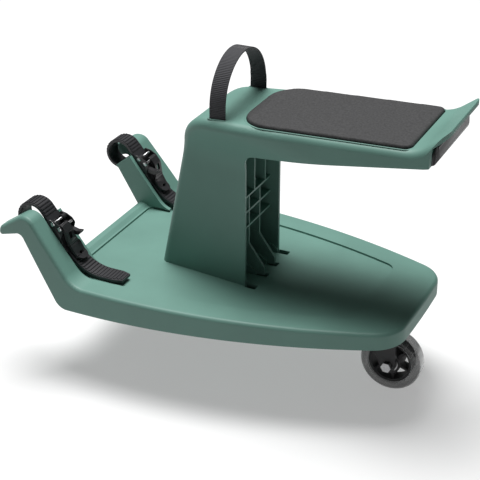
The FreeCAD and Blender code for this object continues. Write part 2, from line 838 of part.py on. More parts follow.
def make_pawl(bar, inner_half):
    """The holding pawl: a hub on the release bar, a toothed tongue and a finger tab on the inner side."""
    gap = size("strap_gap")
    edge = -(inner_half - gap)
    other = edge + size("pawl_width")
    rest = size("buckle_floor") + size("strap_gap") + size("strap_thick") + 0.6
    reach = bar[0] + size("pawl_reach")
    hub_radius = size("bar_radius") + 1.9
    tongue = slab("XZ", edge, other,
                  (bar[0], bar[1] - hub_radius), (bar[0] + 6, rest + 0.4, 3), (bar[0] + 15, rest, 0.6),
                  (bar[0] + 18.5, rest + 3, 3), (reach - 2, rest + 5, 4), (reach + 4, rest + 11, 5),
                  (reach + 1.5, rest + 18.5, 1), (reach - 2, rest + 12, 4), (reach - 8, rest + 7, 8),
                  (bar[0] + 12, rest + 3.2, 6), (bar[0] + 3, bar[1] + 1))
    hub = Part.makeCylinder(hub_radius, other - edge, V(bar[0], edge, bar[1]), V(0, 1, 0))
    pawl = fuse_all(tongue, [hub])
    pawl = pawl.cut(cross_pin(*bar, size("bar_radius") + size("pivot_gap"), 30))
    placed_buckle_piece("holding_pawl", pawl)


# Seat: a bent shell on a column, open at the front and below.

CROWN = V(back("crown_back"), 0, rise("crown_rise"))
SEAT_END = V(NOSE, 0, rise("seat_end_rise"))
SEAT_RUN = (SEAT_END - CROWN).normalize()
COLUMN_FOOT = V(back("column_back"), 0, FLOOR)
COLUMN_UP = (CROWN - COLUMN_FOOT).normalize()
LIP_TIP = V(NOSE + size("lip_over"), 0, rise("seat_lip_rise"))
UNDER_END = V(NOSE + size("end_over"), 0, rise("under_end_rise"))
UNDER_CORNER = V(back("column_front"), 0, rise("under_corner_rise"))


def seat_top_z(x):
    """Height of the seat's top line, before it turns up at the end."""
    return CROWN.z + (x - CROWN.x) * SEAT_RUN.z / SEAT_RUN.x


def seat_body(inset, front_reach, end):
    """The seat and column as a full block, or the same one wall inside it.

    The front and the underside are moved out by a reach, and the end is cut square at X.
    """
    square = V(COLUMN_UP.z, 0, -COLUMN_UP.x)
    foot = COLUMN_FOOT + square * inset - COLUMN_UP * front_reach
    crown = CROWN + V(square.x, 0, -SEAT_RUN.x) * inset
    turn = SEAT_END + V(0, 0, -inset)
    ramp = (LIP_TIP - SEAT_END).normalize()
    high = turn + ramp * (end - turn.x) * (1 / ramp.x)
    low_front = back("column_front") + front_reach
    under = UNDER_CORNER + V(front_reach, 0, -front_reach)
    fall = (UNDER_END.z - UNDER_CORNER.z) / (UNDER_END.x - UNDER_CORNER.x)
    side = slab("XZ", -FAR, FAR,
                flat(foot), (crown.x, crown.z, size("crown_round") - inset),
                (turn.x, turn.z, size("lip_bend") + inset), flat(high),
                (end, under.z + fall * (end - under.x)), (under.x, under.z, size("under_corner")),
                (low_front, foot.z))
    wide = size("seat_half") - inset
    side = side.common(slab("XY", 0, LIP_TIP.z * 2, (-FAR * 2, -wide), (FAR * 2, -wide), (FAR * 2, wide),
                            (-FAR * 2, wide)))
    for hand in (-1, 1):
        side = side.cut(column_draft(hand, inset))
    creases = [edge for edge in side.Edges if abs(abs(edge.CenterOfMass.y) - wide) < 1e-4
               and between_sides(edge, side)]
    side = side.makeFillet(size("side_blend"), creases)
    return side.makeFillet(size("shoulder") - inset, shoulder_edges(side))


def column_draft(hand, inset):
    """What lies outside the column on one hand: upright at first, then flaring out under the seat."""
    narrow = size("column_back_half")
    near = size("column_front_half")
    lean = math.degrees(math.atan2(near - narrow, size("column_back") - size("column_front")))
    slope = size("flare_slope")
    start = rise("flare_rise") + inset * math.tan(math.atan(slope) / 2)
    high = LIP_TIP.z + FAR
    out = near - inset + (high - start) * slope
    outside = slab("YZ", -FAR * 3, FAR * 3,
                   (near - inset, -FAR),
                   (near - inset, start, size("flare_round") + inset),
                   (out, high),
                   (out + FAR, high),
                   (out + FAR, -FAR))
    outside.rotate(V(back("column_front"), near, 0), V(0, 0, 1), lean)
    return outside if hand > 0 else outside.mirror(V(), V(0, 1, 0))


def side_face(face):
    middle = face.Surface.parameter(face.CenterOfMass)
    return abs(face.normalAt(*middle).y) > 0.8


def faces_on(edge, shape):
    return [face for face in shape.Faces if any(edge.isSame(other) for other in face.Edges)]


def between_sides(edge, shape):
    return all(side_face(face) for face in faces_on(edge, shape))


def shoulder_edges(shape):
    """Edges between the sides and the back, crown, top and ramp."""
    found = []
    for edge in shape.Edges:
        faces = faces_on(edge, shape)
        sides = [face for face in faces if side_face(face)]
        if len(sides) != 1 or len(faces) != 2:
            continue
        other = [face for face in faces if not side_face(face)][0]
        normal = other.normalAt(*other.Surface.parameter(edge.CenterOfMass))
        if normal.z > 0.3 or normal.x < -0.5:
            found.append(edge)
    return found


def seat_end_tool():
    """What is cut away past the end face, below the lip and beyond its tip."""
    ramp = (LIP_TIP - SEAT_END).normalize()
    under_tip = LIP_TIP + V(ramp.z, 0, -ramp.x) * size("seat_lip_thick")
    far = LIP_TIP.x + FAR
    return slab("XZ", -FAR, FAR, (far, 0), (UNDER_END.x, 0), (UNDER_END.x, lip_under_z(UNDER_END.x), 6),
                flat(under_tip), flat(LIP_TIP), (LIP_TIP.x, LIP_TIP.z + FAR), (far, LIP_TIP.z + FAR))


def lip_under_z(x):
    """Height of the lip's underside."""
    ramp = (LIP_TIP - SEAT_END).normalize()
    under_tip = LIP_TIP + V(ramp.z, 0, -ramp.x) * size("seat_lip_thick")
    return under_tip.z + (x - under_tip.x) * ramp.z / ramp.x


def end_plan(x, half, low, high):
    """A block that ends at X with the seat's rounded plan corners."""
    begin = NOSE - 60
    corner = size("seat_corner")
    return slab("XY", low, high, (begin, -half), (x, -half, corner), (x, half, corner), (begin, half))


def seat_corner_trim():
    """Rounds the end of the seat and its lip in plan."""
    edge = size("seat_half") + 0.2
    high = LIP_TIP.z + 60
    begin = NOSE - 59
    end = LIP_TIP.x + 90
    corners = slab("XY", TOP, high, (begin, -FAR), (end, -FAR), (end, FAR), (begin, FAR))
    return corners.cut(end_plan(LIP_TIP.x + 1, edge, TOP, high))


def seat_ribs():
    """The lattice inside the column and the ribs that run on under the seat, left standing in the hollow."""
    thick = size("seat_rib")
    front = back("column_front") - size("rib_setback")
    change = rise("lattice_rise")
    behind = COLUMN_FOOT.x - 40
    above = LIP_TIP.z + 40
    half_deck = size("deck_width") / 2
    ribs = []
    for y in (-size("inner_foot_y"), size("inner_foot_y")):
        ribs.append(slab("XZ", y - thick / 2, y + thick / 2, (behind, FLOOR - 5), (front, FLOOR - 5),
                         (front, change), (behind, change)))
    under = size("seat_rib_depth")
    for y in (-size("upper_rib_y"), 0, size("upper_rib_y")):
        ribs.append(slab("XZ", y - thick / 2, y + thick / 2,
                         (behind, change - 1), (front, change - 1),
                         (front, rise("under_corner_rise"), 20),
                         (front + 80, seat_top_z(front + 80) - under - 4, 60),
                         (NOSE - 30, seat_top_z(NOSE - 30) - under), (NOSE - 30, above), (behind, above)))
    for number in range(3):
        z = change - number * size("lattice_step")
        ribs.append(slab("XY", z - thick / 2, z + thick / 2, (behind, -half_deck), (front, -half_deck),
                         (front, half_deck), (behind, half_deck)))
    return ribs


def seat_toes():
    """Gussets that carry the inner ribs forward over the feet."""
    thick = size("seat_rib") + 1
    front = back("column_front")
    toe = front + size("foot_slide") - 4
    y = size("inner_foot_y")
    toe_rib = slab("XZ", y - thick / 2, y + thick / 2,
                   (front - 30, FLOOR), (toe, FLOOR), (toe, FLOOR + 10, 6),
                   (front - size("rib_setback") - 2, FLOOR + 42, 10), (front - 30, FLOOR + 42))
    return [toe_rib, toe_rib.mirror(V(), V(0, 1, 0))]


def seat_feet():
    """Four hooked feet under the column's walls and inner ribs."""
    end = back("column_front")
    start = end - size("foot_length")
    gap = size("foot_gap")
    low = PLATE_UNDER - size("foot_drop") + size("deck_plate")
    half = size("foot_width") / 2
    feet = []
    for y in (size("outer_foot_y"), size("inner_foot_y")):
        tongue = slab("XZ", y - half, y + half, (start, low), (end, low), (end, FLOOR), (start, FLOOR))
        hook = slab("XZ", y - half, y + half, (start - size("hook_reach"), low), (start + 1, low),
                    (start + 1, PLATE_UNDER - gap), (start - size("hook_reach"), PLATE_UNDER - gap))
        inside = min(y + half, size("outer_foot_y"))
        root = slab("XZ", y - half, inside,
                    (start, FLOOR - 1), (end, FLOOR - 1), (end, FLOOR + 5), (start, FLOOR + 12))
        feet.append(both_sides(tongue.fuse(hook).fuse(root)))
    return feet


def pad_outline(inset):
    """Plan corners and roundings of the seat pad, drawn in by an inset."""
    half = size("seat_half") - size("pad_margin") - inset
    start = back("pad_start") + inset
    end = back("pad_end") - inset
    return ((start, -half, size("pad_round")), (end, -half, size("pad_corner")),
            (end, half, size("pad_corner")), (start, half, size("pad_round")))


def seat_tilted(shape):
    """A piece made level at the seat's end height, laid on the seat's slope."""
    tilted = shape.copy()
    tilted.rotate(SEAT_END, V(0, 1, 0), -math.degrees(math.atan2(SEAT_RUN.z, SEAT_RUN.x)))
    return tilted


def make_seat_shell():
    hollow = seat_body(size("seat_wall"), 30, NOSE + size("end_over") / 2)
    for rib in seat_ribs():
        hollow = hollow.cut(rib)
    shell = seat_body(0, 0, LIP_TIP.x + 40).cut(hollow).cut(seat_end_tool()).cut(seat_corner_trim())
    shell = shell.multiFuse(seat_toes() + seat_feet()).removeSplitter()
    gap = size("pad_gap")
    bed = slab("XY", SEAT_END.z - size("pad_depth"), SEAT_END.z + 20, *pad_outline(-gap))
    shell = shell.cut(seat_tilted(bed))
    middle = back("web_back")
    half = size("web_width") / 2 + size("web_gap")
    across = size("web_thick") / 2 + size("web_gap")
    y = size("seat_half") - size("web_inset")
    slot = slab("XY", web_low() - size("web_gap"), CROWN.z + 20,
                (middle - half, y - across, 1.5), (middle + half, y - across, 1.5),
                (middle + half, y + across, 1.5), (middle - half, y + across, 1.5))
    shell = shell.cut(both_sides(slot))
    keep("seat_shell", feature("seat_shell", shell))


def make_pad():
    """A crowned foam pad with drawn-in sides, in its bed."""
    base = SEAT_END.z - size("pad_depth")
    thick = size("pad_depth") + size("pad_rise")
    layers = []
    for inset, share in ((0.6, 0), (0, 0.35), (1.2, 0.8)):
        points = [V(a, b, base + 0.3 + thick * share) for a, b, radius in pad_outline(inset)]
        layers.append(rounded_wire(points, [corner[2] - inset for corner in pad_outline(inset)]))
    side = Part.makeLoft(layers, True, False)
    dome_radius = 1100
    dome_top = base + 0.3 + thick
    middle_x = (back("pad_start") + back("pad_end")) / 2
    dome = Part.makeSphere(dome_radius, V(middle_x, 0, dome_top - dome_radius))
    top_layer = [V(a, b, base + thick + 10) for a, b, radius in pad_outline(1.2)]
    column = Part.Face(rounded_wire(top_layer, [corner[2] - 1.2 for corner in pad_outline(1.2)]))
    crown = column.extrude(V(0, 0, -(10 + thick * 0.25))).common(dome)
    pad = side.fuse(crown).removeSplitter()
    keep("seat_pad", feature("seat_pad", seat_tilted(pad)))


def make_end_cap():
    """The bulged cap on the end face, under the lip."""
    face = UNDER_END.x
    bulge = size("cap_bulge")
    low = UNDER_END.z + 0.5
    high = lip_under_z(face) - 7
    lift = lip_under_z(face + bulge * 0.7) - size("cap_gap") * 5
    half = size("seat_half") - size("seat_wall")
    profile = slab("XZ", -half, half, (face, low), (face, high), (face + bulge * 0.7, lift, 1),
                   (face + bulge, (low + high) / 2, 12), (face + bulge * 0.4, low, 3))
    cap = profile.common(end_plan(face + bulge + 3, half, TOP, LIP_TIP.z))
    keep("seat_end_cap", feature("seat_end_cap", cap))


def make_carry_strap():
    """A webbing loop: two legs through the crown's slots and an arch between them."""
    middle = back("web_back")
    thick = size("web_thick")
    y = size("seat_half") - size("web_inset")
    low = web_low()
    arch = y
    spring = CROWN.z + size("web_leg")
    half = thick / 2
    points = []
    edges = []
    for offset in (-half, half):
        legs = [V(0, -y - offset, low), V(0, -y - offset, spring), V(0, 0, spring + arch + offset),
                V(0, y + offset, spring), V(0, y + offset, low)]
        edges.append(Part.LineSegment(legs[0], legs[1]).toShape())
        edges.append(Part.Arc(legs[1], legs[2], legs[3]).toShape())
        edges.append(Part.LineSegment(legs[3], legs[4]).toShape())
        points.append((legs[0], legs[4]))
    for end in (0, 1):
        edges.append(Part.LineSegment(points[0][end], points[1][end]).toShape())
    face = Part.Face(Part.Wire(Part.sortEdges(edges)[0]))
    face.translate(V(middle - size("web_width") / 2, 0, 0))
    strap = face.extrude(V(size("web_width"), 0, 0))
    bar = size("web_bar")
    hem_inner = y - half - bar * 2 - half
    hem = slab("YZ", middle - size("web_width") / 2, middle + size("web_width") / 2,
               (hem_inner - half, low), (y + half, low), (y + half, low + bar * 2 + thick),
               (hem_inner - half, low + bar * 2 + thick, 2))
    bar_start = V(middle - size("web_width") / 2 - 1, y - half - bar, low + half + bar)
    hem = hem.cut(Part.makeCylinder(bar, size("web_width") + 2, bar_start, V(1, 0, 0)))
    strap = fuse_all(strap, [hem, hem.mirror(V(), V(0, 1, 0))])
    keep("carry_strap", feature("carry_strap", strap))
    crown_line = "deck_top + crown_rise + (crown_back - web_back - web_width / 2)"
    crown_line += " * (seat_end_rise - crown_rise) / crown_back"
    far = rod("carry_strap_bar", "x", "web_bar", "web_width + 8",
              "nose_x - web_back - web_width / 2 - 4",
              "seat_half - web_inset - web_thick / 2 - web_bar",
              crown_line + " - seat_wall - web_seat - web_bar - web_thick / 2")
    keep("carry_strap_bar_left", far)
    keep("carry_strap_bar_right", mirrored("carry_strap_bar_right", far))


def web_low():
    """Lower end of the webbing's hem, so that its bar bears under the crown."""
    ceiling = seat_top_z(back("web_back") - size("web_width") / 2) - size("seat_wall")
    return ceiling - size("web_seat") - size("web_bar") * 2 - size("web_thick")


# Castor: socket, stem and fork, and a wheel on two bearings.


def make_castor():
    x = "nose_x - castor_back"
    axle_x = "nose_x - castor_back + castor_trail"
    boss_low = "deck_top - boss_drop"
    flange = rod("socket_flange_disc", "z", "socket_radius + 4", "socket_flange", x, "0",
                 boss_low + " - socket_flange")
    barrel = rod("socket_barrel", "z", "socket_radius", "socket_length", x, "0", boss_low)
    socket_bore = rod("socket_bore", "z", "stem_radius + stem_gap", "socket_length + 20", x, "0",
                      boss_low + " - 10")
    keep("castor_socket", cut("castor_socket", join("socket_body", flange, barrel), socket_bore))

    washer_low = boss_low + " - socket_flange - washer_thick"
    washer = rod("washer_disc", "z", "socket_radius + 3", "washer_thick", x, "0", washer_low)
    washer_hole = rod("washer_hole", "z", "stem_radius", "washer_thick + 2", x, "0", washer_low + " - 1")
    keep("thrust_washer", cut("thrust_washer", washer, washer_hole))

    crown_low = washer_low + " - crown_thick"
    stem_top = "socket_length + socket_flange + washer_thick + crown_thick - 3"
    stem = rod("stem_shaft", "z", "stem_radius", stem_top, x, "0", crown_low)
    groove_z = boss_low + " + socket_length - 9"
    groove = rod("groove_disc", "z", "stem_radius + 1", "ring_wire * 2.5", x, "0", groove_z)
    groove_core = rod("groove_core", "z", "stem_radius - ring_wire", "ring_wire * 2.5", x, "0", groove_z)
    keep("castor_stem", cut("castor_stem", stem, cut("groove", groove, groove_core)))
    ring_low = groove_z + " + ring_wire * 0.25"
    below_ring = groove_z + " - ring_wire"
    ring = rod("ring_outer", "z", "stem_radius - stem_gap", "ring_wire * 2", x, "0", ring_low)
    ring_core = rod("ring_inner", "z", "stem_radius - ring_wire", "ring_wire * 4", x, "0", below_ring)
    split = block("ring_split", ("stem_radius + 2", "2", "ring_wire * 6"), (x, "-1", below_ring))
    keep("stem_grip_ring", cut("stem_grip_ring", ring, ring_core, split))
    make_fork()

    inner_y = "wheel_width / 2 + fork_gap"
    outer_y = inner_y + " + fork_leg"
    axle_z = "wheel_radius"
    head_y = "-(%s) - axle_head_thick" % outer_y
    shank = rod("axle_shank", "y", "axle_radius", "2 * (%s) + 7" % outer_y,
                axle_x, "-(%s)" % outer_y, axle_z)
    head = hexagon("axle_hexagon", "axle_head", "axle_head_thick", axle_x, head_y, axle_z)
    keep("axle_bolt", join("axle_bolt", shank, head))
    nut = hexagon("nut_hexagon", "axle_head", "axle_head_thick", axle_x, outer_y, axle_z)
    nut_hole = rod("nut_hole", "y", "axle_radius", "axle_head_thick + 2", axle_x, outer_y + " - 1", axle_z)
    keep("axle_nut", cut("axle_nut", nut, nut_hole))

    sleeve = rod("sleeve_outer", "y", "axle_radius + 2.2", "fork_gap", axle_x, "wheel_width / 2", axle_z)
    sleeve_hole = rod("sleeve_hole", "y", "axle_radius", "fork_gap + 2",
                      axle_x, "wheel_width / 2 - 1", axle_z)
    far_sleeve = cut("sleeve", sleeve, sleeve_hole)
    keep("axle_sleeves", group("axle_sleeves", far_sleeve, mirrored("sleeve_right", far_sleeve)))

    bearing_y = "wheel_width / 2 - bearing_width"
    bearing = rod("bearing_outer", "y", "bearing_radius", "bearing_width", axle_x, bearing_y, axle_z)
    bearing_hole = rod("bearing_hole", "y", "axle_radius + axle_gap", "bearing_width + 2", axle_x,
                       bearing_y + " - 1", axle_z)
    far_bearing = keep("wheel_bearing_left", cut("bearing", bearing, bearing_hole))
    keep("wheel_bearing_right", mirrored("wheel_bearing_right", far_bearing))
    spacer = rod("spacer_outer", "y", "axle_radius + 2", "wheel_width - 2 * bearing_width", axle_x,
                 "bearing_width - wheel_width / 2", axle_z)
    spacer_hole = rod("spacer_hole", "y", "axle_radius + axle_gap", "wheel_width",
                      axle_x, "-wheel_width / 2", axle_z)
    keep("bearing_spacer", cut("bearing_spacer", spacer, spacer_hole))
    make_wheel()


def make_fork():
    """The moulded fork: a round crown on the stem and two legs down to the axle."""
    x = back("castor_back")
    axle = V(x + size("castor_trail"), 0, size("wheel_radius"))
    high = TOP - size("boss_drop") - size("socket_flange") - size("washer_thick")
    low = high - size("crown_thick")
    inner = size("wheel_width") / 2 + size("fork_gap")
    outer = inner + size("fork_leg")
    foot = size("fork_foot")
    crown = Part.makeCylinder(size("crown_radius"), size("crown_thick"), V(x, 0, low))
    bridge = slab("XY", low, high, (x - 15, -outer, 5), (axle.x + 9, -outer, 5), (axle.x + 9, outer, 5),
                  (x - 15, outer, 5))
    leg = slab("XZ", inner, outer, (x - 15, high), (x - 15, low + 2, 6), (axle.x - foot, axle.z, 20),
               (axle.x - foot, axle.z - foot, foot * 0.95), (axle.x + foot, axle.z - foot, foot * 0.95),
               (axle.x + foot, axle.z + 14, 20), (axle.x + 9, low + 2, 6), (axle.x + 9, high))
    fork = fuse_all(crown, [bridge, leg, leg.mirror(V(), V(0, 1, 0))])
    fork = fork.cut(Part.makeCylinder(size("stem_radius"), 60, V(x, 0, low - 20)))
    fork = fork.cut(Part.makeCylinder(size("axle_radius"), 100, V(axle.x, -50, axle.z), V(0, 1, 0)))
    keep("castor_fork", feature("castor_fork", fork))


def make_wheel():
    """A spoked core and a clear tyre, turned about the axle."""
    axle = V(back("castor_back") + size("castor_trail"), 0, size("wheel_radius"))
    half = size("wheel_width") / 2
    core_r = size("core_radius")
    rim = Part.makeCylinder(core_r, half * 1.5, V(0, -half * 0.75, 0), V(0, 1, 0))
    rim = rim.cut(Part.makeCylinder(core_r - size("rim_thick"), half * 3, V(0, -half * 1.5, 0), V(0, 1, 0)))
    hub = Part.makeCylinder(size("hub_radius"), half * 2, V(0, -half, 0), V(0, 1, 0))
    spokes = []
    for number in range(6):
        spoke = Part.makeBox(core_r - size("rim_thick") / 2, half * 1.1, size("spoke_thick"),
                             V(0, -half * 0.55, -size("spoke_thick") / 2))
        spoke.rotate(V(), V(0, 1, 0), 60 * number + 20)
        spokes.append(spoke)
    core = fuse_all(rim, [hub] + spokes)
    bearing = size("bearing_width")
    for y in (half - bearing, -half):
        core = core.cut(Part.makeCylinder(size("bearing_radius"), bearing, V(0, y, 0), V(0, 1, 0)))
    core = core.cut(Part.makeCylinder(size("bearing_radius") - 2, half * 4, V(0, -half * 2, 0), V(0, 1, 0)))
    core.translate(axle)
    keep("wheel_core", feature("wheel_core", core))
    tread = size("wheel_radius")
    shoulder_r = core_r + (tread - core_r) * 0.4
    points = [V(0, -half * 0.9, core_r), V(0, half * 0.9, core_r), V(0, half, shoulder_r), V(0, half, tread),
              V(0, -half, tread), V(0, -half, shoulder_r)]
    section = rounded_wire(points, [0, 0, 0, size("tyre_round"), size("tyre_round"), 0])
    tyre = Part.Face(section).revolve(V(), V(0, 1, 0), 360)
    tyre.translate(axle)
    keep("wheel_tyre", feature("wheel_tyre", tyre))


def write_parts():
    doc.recompute()
    for item in doc.Objects:
        if "Invalid" in item.State or "Error" in item.State:
            raise RuntimeError("%s failed" % item.Label)
    for label, item in parts.items():
        shape = item.Shape
        if shape.isNull() or not shape.isValid():
            raise RuntimeError("%s has no sound shape" % label)
        if not shape.Solids:
            raise RuntimeError("%s has no solid" % label)
    os.makedirs("parts", exist_ok=True)
    for label, item in parts.items():
        item.Shape.exportStep(os.path.join("parts", label + ".step"))
        print("%-26s %2d solid(s) %10.1f mm3" % (label, len(item.Shape.Solids), item.Shape.Volume))


make_deck()
make_strap()
make_strap_fixings()
make_buckles()
make_seat_shell()
make_pad()
make_end_cap()
make_carry_strap()
make_castor()
write_parts()
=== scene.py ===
"""Looks of a buggy board with a seat: moulded board and seat, ratchet straps, pad, carry loop and castor."""
import json
import math

import bmesh
import bpy
from mathutils import Matrix, Vector


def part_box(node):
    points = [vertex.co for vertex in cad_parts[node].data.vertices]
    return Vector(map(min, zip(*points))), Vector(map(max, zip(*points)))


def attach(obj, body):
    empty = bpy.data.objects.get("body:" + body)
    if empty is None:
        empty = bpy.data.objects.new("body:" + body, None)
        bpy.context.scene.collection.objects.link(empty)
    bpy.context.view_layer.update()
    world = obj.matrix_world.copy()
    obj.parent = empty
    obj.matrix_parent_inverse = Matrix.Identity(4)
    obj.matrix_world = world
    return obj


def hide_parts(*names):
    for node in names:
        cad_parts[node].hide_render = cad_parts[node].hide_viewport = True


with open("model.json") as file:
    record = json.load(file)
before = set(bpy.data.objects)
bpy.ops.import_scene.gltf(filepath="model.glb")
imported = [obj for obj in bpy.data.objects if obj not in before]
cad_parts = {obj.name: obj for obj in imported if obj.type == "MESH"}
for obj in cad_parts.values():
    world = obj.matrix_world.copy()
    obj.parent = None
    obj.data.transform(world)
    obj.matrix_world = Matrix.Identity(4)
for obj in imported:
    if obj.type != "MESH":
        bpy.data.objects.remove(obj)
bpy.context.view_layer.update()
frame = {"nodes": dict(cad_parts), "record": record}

bl_info = {
    "name": "Buggy board",
    "version": (1, 0, 0),
    "blender": (4, 5, 0),
    "location": "View3D > Sidebar > Board",
    "description": "Dresses the packed buggy board with its mouldings, straps, pad, castor and stage",
    "category": "Object",
}

MM = 0.001


class BoardSizes(bpy.types.PropertyGroup):
    """Sizes that a user would change, in metres, and one angle."""

    tooth_pitch: bpy.props.FloatProperty(
        name="Tooth pitch", description="Distance between the ladder strap's teeth",
        default=4.3 * MM, unit="LENGTH")
    tooth_height: bpy.props.FloatProperty(
        name="Tooth height", description="How far a tooth stands out of the strap",
        default=0.9 * MM, unit="LENGTH")
    tooth_width: bpy.props.FloatProperty(
        name="Tooth width", description="Length of a tooth across the strap",
        default=22.5 * MM, unit="LENGTH")
    weld_gap: bpy.props.FloatProperty(
        name="Weld gap", description="Corners closer than this are one corner",
        default=0.01 * MM, unit="LENGTH")
    smooth_angle: bpy.props.FloatProperty(
        name="Smooth angle", description="Edges under this angle look round",
        default=math.radians(34), subtype="ANGLE")
    edge_break: bpy.props.FloatProperty(
        name="Edge break", description="Width of the small round on a moulding's edges",
        default=0.7 * MM, unit="LENGTH")
    pad_voxel: bpy.props.FloatProperty(
        name="Pad grain", description="Spacing of the pad's surface points",
        default=1.6 * MM, unit="LENGTH")
    bead: bpy.props.FloatProperty(
        name="Bead", description="Radius of the beads round the pad's bed and the loop's slots",
        default=0.8 * MM, unit="LENGTH")
    web_thick: bpy.props.FloatProperty(
        name="Webbing", description="Thickness of the carry loop's webbing",
        default=1.8 * MM, unit="LENGTH")


class BoardColours(bpy.types.PropertyGroup):
    """Colours that a user would change."""

    green: bpy.props.FloatVectorProperty(
        name="Moulding", description="Sage green of the board and seat",
        default=(0.135, 0.275, 0.230), subtype="COLOR")
    black: bpy.props.FloatVectorProperty(
        name="Fittings", description="Black of the buckles, fork and cap",
        default=(0.018, 0.018, 0.020), subtype="COLOR")
    strap: bpy.props.FloatVectorProperty(
        name="Straps", description="Black of the ladder straps",
        default=(0.024, 0.024, 0.027), subtype="COLOR")
    webbing: bpy.props.FloatVectorProperty(
        name="Webbing", description="Black of the carry loop",
        default=(0.020, 0.020, 0.024), subtype="COLOR")
    pad: bpy.props.FloatVectorProperty(
        name="Pad", description="Charcoal of the foam pad",
        default=(0.032, 0.032, 0.033), subtype="COLOR")
    tyre: bpy.props.FloatVectorProperty(
        name="Tyre", description="Tint of the clear tyre",
        default=(0.46, 0.48, 0.48), subtype="COLOR")
    core: bpy.props.FloatVectorProperty(
        name="Wheel core", description="Black of the wheel's core",
        default=(0.020, 0.020, 0.022), subtype="COLOR")
    steel: bpy.props.FloatVectorProperty(
        name="Steel", description="Plated steel of the screws, pins, bars, plates and axle",
        default=(0.62, 0.62, 0.63), subtype="COLOR")
    floor: bpy.props.FloatVectorProperty(
        name="Floor", description="Pale studio floor",
        default=(0.60, 0.60, 0.60), subtype="COLOR")
    floor_lift: bpy.props.FloatProperty(
        name="Floor lift", description="White that the camera sees in the floor besides its own light",
        default=0.36)


def sizes():
    return bpy.context.scene.board_sizes


def colours():
    return bpy.context.scene.board_colours


# Finishes


def socket(group, name, direction, value=None):
    """Add a number socket to a node group."""
    made = group.interface.new_socket(name, in_out=direction, socket_type="NodeSocketFloat")
    if value is not None:
        made.default_value = value


def moulded_grain():
    """Fine spark-eroded grain as a height, and faint flow marks as a factor for colour and gloss."""
    if "moulded_grain" in bpy.data.node_groups:
        return bpy.data.node_groups["moulded_grain"]
    group = bpy.data.node_groups.new("moulded_grain", "ShaderNodeTree")
    socket(group, "Grain scale", "INPUT", value=1400.0)
    socket(group, "Cloud scale", "INPUT", value=14.0)
    socket(group, "Cloud", "OUTPUT")
    socket(group, "Height", "OUTPUT")
    nodes, links = group.nodes, group.links
    given = nodes.new("NodeGroupInput")
    out = nodes.new("NodeGroupOutput")
    place = nodes.new("ShaderNodeTexCoord")
    grain = nodes.new("ShaderNodeTexNoise")
    grain.inputs["Detail"].default_value = 3.0
    cloud = nodes.new("ShaderNodeTexNoise")
    cloud.inputs["Detail"].default_value = 4.0
    links.new(place.outputs["Object"], grain.inputs["Vector"])
    links.new(place.outputs["Object"], cloud.inputs["Vector"])
    links.new(given.outputs["Grain scale"], grain.inputs["Scale"])
    links.new(given.outputs["Cloud scale"], cloud.inputs["Scale"])
    links.new(cloud.outputs["Fac"], out.inputs["Cloud"])
    links.new(grain.outputs["Fac"], out.inputs["Height"])
    return group


def woven_cloth():
    """A close plain weave with its ribs across the webbing, as a thread mask and a height."""
    if "woven_cloth" in bpy.data.node_groups:
        return bpy.data.node_groups["woven_cloth"]
    group = bpy.data.node_groups.new("woven_cloth", "ShaderNodeTree")
    socket(group, "Warp scale", "INPUT", value=420.0)
    socket(group, "Weft scale", "INPUT", value=150.0)
    socket(group, "Thread", "OUTPUT")
    socket(group, "Height", "OUTPUT")
    nodes, links = group.nodes, group.links
    given = nodes.new("NodeGroupInput")
    out = nodes.new("NodeGroupOutput")
    place = nodes.new("ShaderNodeTexCoord")
    weave = []
    for direction, threads in (("X", "Warp scale"), ("Y", "Weft scale")):
        wave = nodes.new("ShaderNodeTexWave")
        wave.bands_direction = direction
        wave.inputs["Distortion"].default_value = 0.4
        links.new(place.outputs["UV"], wave.inputs["Vector"])
        links.new(given.outputs[threads], wave.inputs["Scale"])
        weave.append(wave)
    mix = nodes.new("ShaderNodeMix")
    mix.inputs["Factor"].default_value = 0.8
    links.new(weave[0].outputs["Fac"], mix.inputs["A"])
    links.new(weave[1].outputs["Fac"], mix.inputs["B"])
    links.new(mix.outputs[0], out.inputs["Thread"])
    links.new(mix.outputs[0], out.inputs["Height"])
    return group


def new_material(name):
    material = bpy.data.materials.new(name)
    material.use_nodes = True
    tree = material.node_tree
    return material, tree.nodes, tree.links, tree.nodes["Principled BSDF"]


def ramp(nodes, low, high):
    """A colour ramp from one shade of a colour to another."""
    made = nodes.new("ShaderNodeValToRGB")
    made.color_ramp.elements[0].color = (*low, 1)
    made.color_ramp.elements[1].color = (*high, 1)
    made.color_ramp.elements[0].position = 0.3
    made.color_ramp.elements[1].position = 0.7
    return made


def shade(colour, factor):
    return tuple(min(channel * factor, 1.0) for channel in colour)


GLOSS_SPREAD = 0.06


def moulded_plastic(name, colour, roughness, spread=0.06, bump=0.1, grain=1400.0):
    """Moulded plastic: clouded colour, uneven gloss and a fine grain."""
    material, nodes, links, surface = new_material(name)
    group = nodes.new("ShaderNodeGroup")
    group.node_tree = moulded_grain()
    group.inputs["Grain scale"].default_value = grain
    tint = ramp(nodes, shade(colour, 1 - spread), shade(colour, 1 + spread))
    links.new(group.outputs["Cloud"], tint.inputs["Fac"])
    links.new(tint.outputs["Color"], surface.inputs["Base Color"])
    gloss = nodes.new("ShaderNodeMapRange")
    gloss.inputs["To Min"].default_value = roughness - GLOSS_SPREAD
    gloss.inputs["To Max"].default_value = roughness + GLOSS_SPREAD
    links.new(group.outputs["Cloud"], gloss.inputs["Value"])
    links.new(gloss.outputs["Result"], surface.inputs["Roughness"])
    relief = nodes.new("ShaderNodeBump")
    relief.inputs["Strength"].default_value = bump
    relief.inputs["Distance"].default_value = 0.1 * MM
    links.new(group.outputs["Height"], relief.inputs["Height"])
    links.new(relief.outputs["Normal"], surface.inputs["Normal"])
    return material


